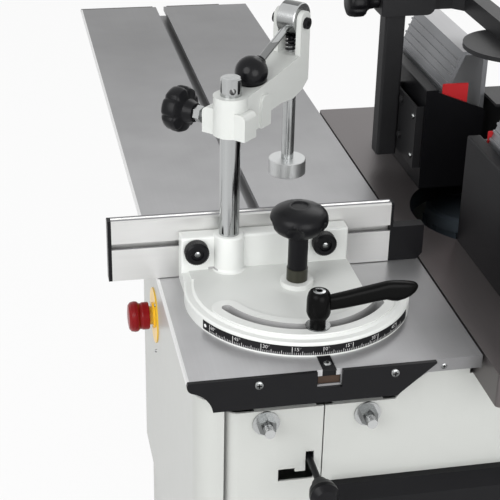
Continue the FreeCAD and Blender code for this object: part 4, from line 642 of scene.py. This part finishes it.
class MOULDER_OT_angle_scale(bpy.types.Operator):
    """Black angle scale with white marks and figures on the quadrant's rim"""
    bl_idname = "moulder.angle_scale"
    bl_label = "Angle scale"

    # The strip, in mm above the table and from the rim
    strip_low = 2.3
    strip_high = 13.8
    strip_sunk = 0.1
    strip_proud = 0.4
    strip_steps = 64

    # The marks: name, degrees between them, height of their tops and width
    mark_rows = (("fine marks", 1, 5.4, 0.35), ("middle marks", 5, 7.2, 0.45), ("long marks", 15, 12.6, 0.55))
    mark_foot = 2.6
    mark_thick = 0.25

    # The figures stand beside the long marks
    figure_every = 15
    figure_size = 6.4
    figure_thick = 0.1
    figure_thin = 0.14
    figure_aside_deg = 0.7
    figure_proud = 0.5
    figure_foot = 7.8

    rivet_profile = ((2.2, 0), (2.2, 0.4), (1.3, 0.8), (0, 0.9))
    rivet_inset_deg = 2.0
    rivet_proud = 0.3
    rivet_height = 8

    def execute(self, context):
        sizes = context.scene.moulder_trim
        pivot, r = Vector(sizes.pivot), sizes.rim_radius
        self.strip(sizes, pivot, r)
        place = Matrix.Translation(pivot * MM)
        deg = math.radians(1)
        total = sizes.ticks_left + sizes.ticks_right
        for name, every, high, wide in self.mark_rows:
            size = Vector((self.mark_thick, wide, high - self.mark_foot)) * MM
            marks = grown(name, ring_tree, place=place, Count=total // every + 1,
                          Start=-sizes.ticks_left * deg, Step=every * deg, Radius=(r + self.strip_proud) * MM,
                          Height=(self.mark_foot + high) / 2 * MM, Size=size, Finish=mat("white_mark"))
            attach(marks, "mitre_head")
        for value in range(-sizes.ticks_left, sizes.ticks_right + 1, self.figure_every):
            self.figure(value, pivot, r)
        out = heading(sizes.scale_from + self.rivet_inset_deg)
        at = pivot + out * (r + self.rivet_proud) + UP * self.rivet_height
        rivet = turned("scale rivet", "white_mark", self.rivet_profile, at, out, 14)
        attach(rivet, "mitre_head")
        return {"FINISHED"}

    def strip(self, sizes, pivot, r):
        """The black strip, bent round the rim."""
        inner, outer = r - self.strip_sunk, r + self.strip_proud
        section = ((inner, self.strip_low), (outer, self.strip_low), (outer, self.strip_high),
                   (inner, self.strip_high))
        bm = bmesh.new()
        rows = []
        for i in range(self.strip_steps + 1):
            out = heading(sizes.scale_from + (sizes.scale_to - sizes.scale_from) * i / self.strip_steps)
            rows.append([bm.verts.new(pivot + out * reach + UP * z) for reach, z in section])
        skin(bm, rows)
        strip = new_piece("angle scale strip", bm, "scale_black")
        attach(strip, "mitre_head")

    def figure(self, value, pivot, r):
        """A figure with its degree sign, standing beside its long mark on the side towards zero."""
        curve = bpy.data.curves.new("figure", "FONT")
        curve.body = "%d\u00b0" % abs(value)
        curve.size = self.figure_size * MM
        curve.align_x = "RIGHT" if value > 0 else "LEFT"
        curve.extrude = self.figure_thick * MM
        curve.offset = -self.figure_thin * MM
        text = added("figure", curve)
        graph = bpy.context.evaluated_depsgraph_get()
        mesh = bpy.data.meshes.new_from_object(text.evaluated_get(graph))
        bpy.data.objects.remove(text)
        out = heading(value + (-self.figure_aside_deg if value > 0 else self.figure_aside_deg))
        at = (pivot + out * (r + self.figure_proud) + UP * self.figure_foot) * MM
        turn_to = Matrix((UP.cross(out), UP, out)).transposed().to_4x4()
        mesh.transform(Matrix.Translation(at) @ turn_to)
        mesh.materials.clear()
        mesh.materials.append(mat("white_mark"))
        piece = added("scale_figure_%d" % value, mesh)
        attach(piece, "mitre_head")


class MOULDER_OT_guard_plates(bpy.types.Operator):
    """Red guard plates at the inner ends of the fence profiles"""
    bl_idname = "moulder.guard_plates"
    bl_label = "Guard plates"

    # Ends of the infeed plate along X, mirrored for the outfeed one, and of both along Y and Z
    ends_x = (88.4, 90.6)
    ends_y = (-58, -20)
    ends_z = (890, 1037)
    edge = 0.7

    def execute(self, context):
        for body, sign in (("outfeed", -1), ("infeed", 1)):
            low, high = zip(sorted(sign * x for x in self.ends_x), self.ends_y, self.ends_z)
            bm = bmesh.new()
            slab(bm, low, high)
            bmesh.ops.bevel(bm, geom=bm.edges[:], offset=self.edge, segments=2, affect="EDGES")
            plate = new_piece(body + " guard plate", bm, "red_guard", False)
            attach(plate, body)
        return {"FINISHED"}


class MOULDER_OT_fasteners(bpy.types.Operator):
    """Screws, bolts, threads and the bare end of the bar, the heads of each row as one piece"""
    bl_idname = "moulder.fasteners"
    bl_label = "Fasteners"

    # Threads on the guide rods: end, place along X and direction; places along Y; depth under the table top
    rod_ends = (("near", 352.7, 1), ("far", -802.7, -1))
    rod_rows = (-396, -275)
    rod_drop = 84
    thread_turns = 6.0
    thread_radius = 5.9
    thread_length = 10.8
    thread_wire = 0.5

    # Bare end of the gauge's bar in the table's slot
    bar_end = (368.0, 368.4)
    bar_half = 12.6
    bar_depths = (18.2, 8.8)
    bar_edge = 0.15

    def execute(self, context):
        sizes = context.scene.moulder_trim
        near, out = Vector((1, 0, 0)), Vector((0, -1, 0))
        pivot_x, bar_y, top = sizes.pivot
        # Name, body, axis, radius and height of a head, and places
        rows = (
            ("near cap screws", "carriage_table", near, 5.5, 3.0, [(374, y, top - 9) for y in (-413, -257)]),
            ("flange screw", "carriage_table", near, 3.6, 0.8, [(369, -197.5, top - 10)]),
            ("presser plate screws", "outfeed", out, 4.0, 2.6, [(-100, -94, top + z) for z in (47, 107)]),
            ("cover screws", "base", out, 2.6, 1.4, [(-10.7, -478, 689), (2, -480, 770)]),
            ("panel screws", "base", near, 4.0, 2.2, [(340, 250, z) for z in (800, 420, 120)]),
            ("pointer screw", "mitre_bar", UP, 4.6, 2.0, [(pivot_x + 155, bar_y, top + 1)]),
        )
        for name, body, axis, r, h, places in rows:
            heads(name, body, lambda bm: screw_head(bm, (0, 0, 0), UP, r, h), places, axis)
            # The recess of each head is a cross of painted shade
            heads(name + " recess", body, lambda bm: cross_recess(bm, r, h), places, axis,
                  "dark_hole", False)
        heads("presser plate bolts", "outfeed", lambda bm: hex_head(bm, (0, 0, 0), UP, 10, 4),
              [(-154, -94, top + z) for z in (58, 113)], out, "black_paint", False)
        heads("hood bolts", "hood", self.hood_bolt, [(x, 100, top) for x in (-135, 135)], UP)
        self.threads(top)
        bm = bmesh.new()
        slab(bm, (self.bar_end[0], bar_y - self.bar_half, top - self.bar_depths[0]),
             (self.bar_end[1], bar_y + self.bar_half, top - self.bar_depths[1]))
        bmesh.ops.bevel(bm, geom=bm.edges[:], offset=self.bar_edge, segments=1, affect="EDGES")
        end = new_piece("bare bar end", bm, "brown_steel", False)
        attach(end, "mitre_bar")
        return {"FINISHED"}

    def hood_bolt(self, bm):
        """A hexagon head on a washer, above the hood's foot."""
        foot, washer = 8, 10
        turn(bm, [(0, foot), (12, foot), (12, washer), (0, washer)], (0, 0, 0), UP, 24)
        hex_head(bm, (0, 0, washer), UP, 17, 9)

    def threads(self, top):
        """A thread on both ends of each guide rod."""
        for name, x, sign in self.rod_ends:
            lie = Matrix.Rotation(math.radians(90 * sign), 4, "Y")
            for y in self.rod_rows:
                place = Matrix.Translation(Vector((x, y, top - self.rod_drop)) * MM) @ lie
                thread = grown("%s thread %d" % (name, -y), thread_tree, place=place, Turns=self.thread_turns,
                               Radius=self.thread_radius * MM, Length=self.thread_length * MM,
                               Wire=self.thread_wire * MM, Finish=mat("zinc"))
                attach(thread, "base")


class MOULDER_OT_hold_down_trim(bpy.types.Operator):
    """Lock nut, smooth star knob and ball, socket of the cam pin and return spring"""
    bl_idname = "moulder.hold_down_trim"
    bl_label = "Hold-down trim"

    # Star knob across the post, from the post's axis
    star_height = 212.5
    stud = ((5.3, 30.7), (5.3, 39.9))
    nut_at = 39.8
    nut_across = 17.4
    nut_height = 10.4

    # Ball of the cam's lever and cam pin: reach along the arm and height, from the post's foot
    ball_at = (42.5, 262.2)
    pin_at = (130.5, 304)
    ball_radius = 20
    ball_neck = 7.5

    # How far the pin's head stands out from the middle of the fork
    pin_out = 23.8
    pin_socket = ((3.2, 0), (3.2, 0.3), (0, 0.3))

    # Points of the spring's mesh nearer than this are one
    weld = 0.001

    def execute(self, context):
        sizes = context.scene.moulder_trim
        along = heading(sizes.arm_deg)
        across = UP.cross(along)
        post = Vector(sizes.post)
        bm = bmesh.new()
        star = post + UP * self.star_height
        turn(bm, self.stud, star, across, 24)
        hex_head(bm, star + across * self.nut_at, across, self.nut_across, self.nut_height)
        nut = new_piece("star knob lock nut", bm, "bright_zinc", False)
        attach(nut, "arm_screw")
        knob = self.star(star, across)
        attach(knob, "arm_screw")
        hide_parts("star_knob")

        def on_arm(reach, height):
            """A place over the arm's line."""
            return post + along * reach + UP * height
        ball_at, pin_at = on_arm(*self.ball_at), on_arm(*self.pin_at)
        ball = self.ball(ball_at, pin_at - ball_at)
        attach(ball, "cam")
        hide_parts("ball_knob")
        head = pin_at - across * self.pin_out
        # A thin disc of painted shade stands for the socket in the pin's head
        pin = turned("cam pin socket", "dark_hole", self.pin_socket, head, -across, 6)
        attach(pin, "hold_arm")
        self.spring()
        return {"FINISHED"}

    def spring(self):
        """A welded copy of the return spring, put in place of the CAD one."""
        bm = bmesh.new()
        bm.from_mesh(frame["nodes"]["return_spring"].data)
        bmesh.ops.remove_doubles(bm, verts=bm.verts, dist=self.weld * MM)
        bmesh.ops.scale(bm, vec=(1 / MM, 1 / MM, 1 / MM), verts=bm.verts)
        coil = new_piece("wound return spring", bm, "black_paint")
        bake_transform(coil)
        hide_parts("return_spring")

    def star(self, at, axis):
        """Knob with soft lobes on a hub, and its stud."""
        lobes = soft_lobes(count=7, depth=2.4, hub=17, fade=9, sharpness=4)
        profile = [(0, 13.1), (5, 13.1), (5, 50), (11.5, 50), (12.4, 53), (13.6, 57), (14.8, 60.5),
                   (18, 62.2), (23, 63.2), (26.4, 65.2), (28, 69), (28, 77.5), (27, 81.4), (24.2, 84.2),
                   (19.5, 85.7), (13, 86), (12, 85.2), (0, 85.2)]
        return turned("smooth star knob", "black_plastic", profile, at, axis, 112, lobes)

    def ball(self, at, axis, steps=40):
        """Ball with a collar towards the rod."""
        r = self.ball_radius
        span = math.acos(self.ball_neck / r) + math.pi / 2
        arc = [-math.pi / 2 + span * i / steps for i in range(1, steps + 1)]
        profile = [(0, -r)] + [(r * math.cos(a), r * math.sin(a)) for a in arc]
        profile += [(7.3, 21.6), (6.9, 22.0), (4.8, 22.0)]
        return turned("smooth ball", "gloss_black", profile, at, axis, 64)


class MOULDER_OT_pivot_trim(bpy.types.Operator):
    """Rounded hand knob on the pivot, with a collar at its foot"""
    bl_idname = "moulder.pivot_trim"
    bl_label = "Pivot knob"

    # Radius and height above the table top
    knob = ((12, 26.5), (12, 80), (13, 85), (16, 87.6), (20, 88.8), (25, 91.2), (29.4, 94.6), (32.6, 98.6),
            (33.7, 100.6), (34.4, 102.6), (34.8, 104.8), (35, 107), (34.95, 109), (34.7, 111), (33.4, 114.8),
            (30.8, 118), (26.6, 120.8), (21, 122.9), (15, 124.3), (11.5, 124.9), (10.6, 124.5), (9.8, 123.2),
            (0, 123.0))
    collar = ((12.05, 26.6), (12.9, 27.0), (12.9, 42.6), (12.05, 43.0))
    scallops = 5

    # Height over which a scallop closes with its ball end
    scallop_end = 98.0

    def execute(self, context):
        sizes = context.scene.moulder_trim
        pivot = Vector(sizes.pivot)

        def lobes(r, a, h):
            """Finger scallops, cut from below with a ball end."""
            off = math.remainder(a + math.radians(sizes.scallop_deg), math.radians(360 / self.scallops))
            rise = max(0.0, h - self.scallop_end)
            ball = sizes.scallop_radius ** 2 - rise ** 2 - (sizes.scallop_at * math.sin(off)) ** 2
            return r if ball <= 0 else min(r, sizes.scallop_at * math.cos(off) - math.sqrt(ball))
        knob = turned("smooth pivot knob", "black_plastic", self.knob, pivot, UP, 150, lobes)
        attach(knob, "pivot_screw")
        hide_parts("pivot_knob")
        collar = turned("pivot collar", "olive_collar", self.collar, pivot, UP, 48)
        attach(collar, "pivot_screw")
        return {"FINISHED"}


class MOULDER_OT_clamp_lever(bpy.types.Operator):
    """Rounded clamp lever on the arc slot, with its washer and cap screw"""
    bl_idname = "moulder.clamp_lever"
    bl_label = "Clamp lever"

    # Hub, washer and cap screw: radius and height above the table top
    hub = ((0, -15), (4, -15), (4, 22), (14, 22), (14, 23.5), (9.3, 23.5), (9.3, 30), (10.6, 33.4),
           (12.8, 37), (14, 41), (14, 55), (13.6, 60), (12.6, 64), (11, 66.8), (9.8, 67.5), (9.2, 66.8),
           (0, 66.8))
    washer = ((9.4, 22.0), (14.5, 22.0), (14.5, 23.6), (9.4, 23.6))
    cap_screw = ((0, 66.9), (7.4, 66.9), (7.4, 67.6), (6.8, 68.0), (3.6, 68.0), (3.4, 66.9), (0, 66.9))

    # Sections along the arm: reach, middle height, half height and half width
    sections = ((2, 51, 9, 5.0), (12, 51.5, 9.0, 6.0), (30, 53.7, 9.6, 6.4), (50, 57, 10.2, 6.5),
                (66, 59.6, 10.4, 6.5), (79, 61.6, 11.0, 6.5), (86, 60.6, 12.2, 6.5), (92, 60.0, 12.3, 6.5),
                (100, 60.5, 11.0, 6.5), (107, 61.5, 8.8, 6.1), (112, 63.0, 6.2, 5.0), (115, 63.8, 3.6, 3.2),
                (116.3, 64, 1.2, 1.2))
    squareness = 0.6

    def execute(self, context):
        sizes = context.scene.moulder_trim
        at = Vector(sizes.pivot) + Vector((sizes.arc_radius, 0, 0))
        bm = bmesh.new()
        turn(bm, self.hub, at, UP, 48)
        self.arm(bm, at)
        lever = new_piece("smooth clamp lever", bm, "lever_black")
        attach(lever, "head_lock")
        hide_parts("clamp_lever")
        bm = bmesh.new()
        turn(bm, self.washer, at, UP, 40)
        turn(bm, self.cap_screw, at, UP, 36)
        trim = new_piece("clamp lever washer and screw", bm, "zinc")
        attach(trim, "head_lock")
        return {"FINISHED"}

    def arm(self, bm, at, count=28):
        """Arm with a rounded section, closed at both ends."""
        rings = []
        for reach, mid, high, wide in self.sections:
            ring = []
            for i in range(count):
                a = 2 * math.pi * i / count
                c, d = math.cos(a), math.sin(a)
                x = math.copysign(abs(c) ** self.squareness, c) * wide
                z = math.copysign(abs(d) ** self.squareness, d) * high
                ring.append(bm.verts.new(at + Vector((x, reach, mid + z))))
            rings.append(ring)
        skin(bm, rings)


class MOULDER_OT_presser_knob(bpy.types.Operator):
    """Rounded clamping knob of the presser"""
    bl_idname = "moulder.presser_knob"
    bl_label = "Presser knob"

    # Radius and height from the knob's foot
    knob = ((0, -7.4), (5, -7.4), (5, 1), (10, 1), (10.4, 8), (11.4, 14), (14.5, 18.4), (19, 20.8),
            (21.4, 24), (22, 29), (22, 37), (21, 42), (18.4, 45.4), (13.5, 47.3), (7, 48), (0, 48))

    def execute(self, context):
        foot = Vector(context.scene.moulder_trim.presser_knob)
        lobes = soft_lobes(count=6, depth=2.6, hub=14, fade=7, sharpness=2, start=math.pi / 2)
        knob = turned("smooth presser knob", "black_plastic", self.knob, foot, (0, -1, 0), 96, lobes)
        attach(knob, "presser_screw")
        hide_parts("presser_knob")
        return {"FINISHED"}


class MOULDER_OT_knurls(bpy.types.Operator):
    """Ridges round the two fence knobs and their silver screws"""
    bl_idname = "moulder.knurls"
    bl_label = "Knurls"

    # The knobs: name, body and place along Y; all places are from the pivot
    knobs = (("left", "fence_screw_left", -115.5), ("right", "fence_screw_right", 45))
    knob_x = -52.7
    knob_z = 48
    ridge_radius = 14.4
    ridge_middle = 6.5
    ridge_size = (1.2, 1.2, 10.0)
    screw_out = 11

    def execute(self, context):
        sizes = context.scene.moulder_trim
        pivot = Vector(sizes.pivot)
        for name, body, y in self.knobs:
            at = pivot + Vector((self.knob_x, y, self.knob_z))
            lie = Matrix.Translation(at * MM) @ Matrix.Rotation(math.radians(90), 4, "Y")
            ridges = grown(name + " knob ridges", ring_tree, place=lie, Count=sizes.knurl_count, Start=0.0,
                           Step=2 * math.pi / sizes.knurl_count, Radius=self.ridge_radius * MM,
                           Height=self.ridge_middle * MM, Size=Vector(self.ridge_size) * MM,
                           Finish=mat("black_plastic"))
            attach(ridges, body)
            bm = bmesh.new()
            screw_head(bm, at + Vector((self.screw_out, 0, 0)), (1, 0, 0), 4.2, 2.4)
            screw = new_piece(name + " knob screw", bm, "zinc")
            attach(screw, body)
        return {"FINISHED"}


class MOULDER_OT_stage(bpy.types.Operator):
    """Floor, lamps, sky and camera"""
    bl_idname = "moulder.stage"
    bl_label = "Stage"

    # The lamps: name, place, target, size and power
    lamps = (("key", (1.8, -2.3, 2.3), (0.0, -0.3, 0.85), 2.2, 50),
             ("fill", (3.4, 0.5, 1.7), (0.0, -0.3, 0.9), 2.6, 60),
             ("back", (-2.2, 1.6, 3.2), (0.0, -0.3, 0.9), 2.2, 25))
    floor_half = 30
    floor_rough = 0.9
    floor_glow = 0.88
    sky_light = 0.58
    sensor = 36.0
    far = 200.0

    def execute(self, context):
        stage = context.scene.moulder_stage
        context.scene.view_settings.view_transform = "Standard"
        half = self.floor_half
        mesh = bpy.data.meshes.new("floor")
        mesh.from_pydata([(-half, -half, 0), (half, -half, 0), (half, half, 0), (-half, half, 0)], [],
                         [(0, 1, 2, 3)])
        floor = added("floor", mesh)
        mesh.materials.append(self.floor_material(stage.floor_tone))
        self.sky()
        for name, at, to, size, power in self.lamps:
            self.lamp(name, at, to, size, power * stage.light)
        self.camera(stage)
        return {"FINISHED"}

    def floor_material(self, level):
        """A pale floor that glows towards the camera and lights nothing more than its paint would."""
        made, tree, shader, where = material("floor")
        glow = where.node("ShaderNodeEmission", Color=WHITE, Strength=1.0)
        shader.inputs["Base Color"].default_value = (level, level, level, 1.0)
        shader.inputs["Roughness"].default_value = self.floor_rough
        both = tree.nodes.new("ShaderNodeMixShader")
        put(tree, both.inputs[0], plain_sight(tree) * self.floor_glow)
        tree.links.new(shader.outputs[0], both.inputs[1])
        tree.links.new(glow.out, both.inputs[2])
        tree.links.new(both.outputs[0], tree.nodes["Material Output"].inputs["Surface"])
        return made

    def sky(self):
        """A white sky that lights the part with only a share of what the camera sees."""
        world = bpy.data.worlds.new("studio")
        bpy.context.scene.world = world
        world.use_nodes = True
        tree = world.node_tree
        back = tree.nodes["Background"]
        put(tree, back.inputs["Strength"], plain_sight(tree) * (1.0 - self.sky_light) + self.sky_light)
        back.inputs["Color"].default_value = WHITE

    def lamp(self, name, at, to, size, power):
        """A round area lamp aimed at a point."""
        data = bpy.data.lights.new(name, "AREA")
        data.shape = "DISK"
        data.size = size
        data.energy = power
        lamp = added(name, data)
        lamp.location = at
        lamp.rotation_euler = (Vector(to) - Vector(at)).to_track_quat("-Z", "Y").to_euler()

    def camera(self, stage):
        """The photo's view, as heading, tilt and roll."""
        yaw, pitch, roll = (math.radians(v) for v in (stage.yaw, stage.pitch, stage.roll))
        level = math.cos(pitch)
        ahead = Vector((-level * math.cos(yaw), -level * math.sin(yaw), -math.sin(pitch)))
        right = Vector((-math.sin(yaw), math.cos(yaw), 0))
        up = right.cross(ahead)
        x = right * math.cos(roll) + up * math.sin(roll)
        y = up * math.cos(roll) - right * math.sin(roll)
        data = bpy.data.cameras.new("camera")
        data.lens = stage.lens
        data.sensor_width = self.sensor
        data.clip_end = self.far
        cam = added("camera", data)
        aim = Matrix((x, y, -ahead)).transposed().to_4x4()
        cam.matrix_world = Matrix.Translation(Vector(stage.camera_at)) @ aim
        bpy.context.scene.camera = cam


OPERATORS = (MOULDER_OT_finishes, MOULDER_OT_angle_scale, MOULDER_OT_guard_plates, MOULDER_OT_fasteners,
             MOULDER_OT_hold_down_trim, MOULDER_OT_pivot_trim, MOULDER_OT_clamp_lever,
             MOULDER_OT_presser_knob, MOULDER_OT_knurls, MOULDER_OT_stage)


class MOULDER_PT_panel(bpy.types.Panel):
    bl_label = "Spindle moulder"
    bl_idname = "MOULDER_PT_panel"
    bl_space_type = "VIEW_3D"
    bl_region_type = "UI"
    bl_category = "Moulder"

    def draw(self, context):
        for op in OPERATORS:
            self.layout.operator(op.bl_idname)


CLASSES = (MoulderTrim, MoulderColours, MoulderStage) + OPERATORS + (MOULDER_PT_panel,)


def register():
    for cls in CLASSES:
        bpy.utils.register_class(cls)
    bpy.types.Scene.moulder_trim = bpy.props.PointerProperty(type=MoulderTrim)
    bpy.types.Scene.moulder_colours = bpy.props.PointerProperty(type=MoulderColours)
    bpy.types.Scene.moulder_stage = bpy.props.PointerProperty(type=MoulderStage)


def unregister():
    del bpy.types.Scene.moulder_stage
    del bpy.types.Scene.moulder_colours
    del bpy.types.Scene.moulder_trim
    for cls in reversed(CLASSES):
        bpy.utils.unregister_class(cls)


def main():
    register()
    for op in OPERATORS:
        group, name = op.bl_idname.split(".")
        getattr(getattr(bpy.ops, group), name)()


if __name__ == "__main__":
    main()
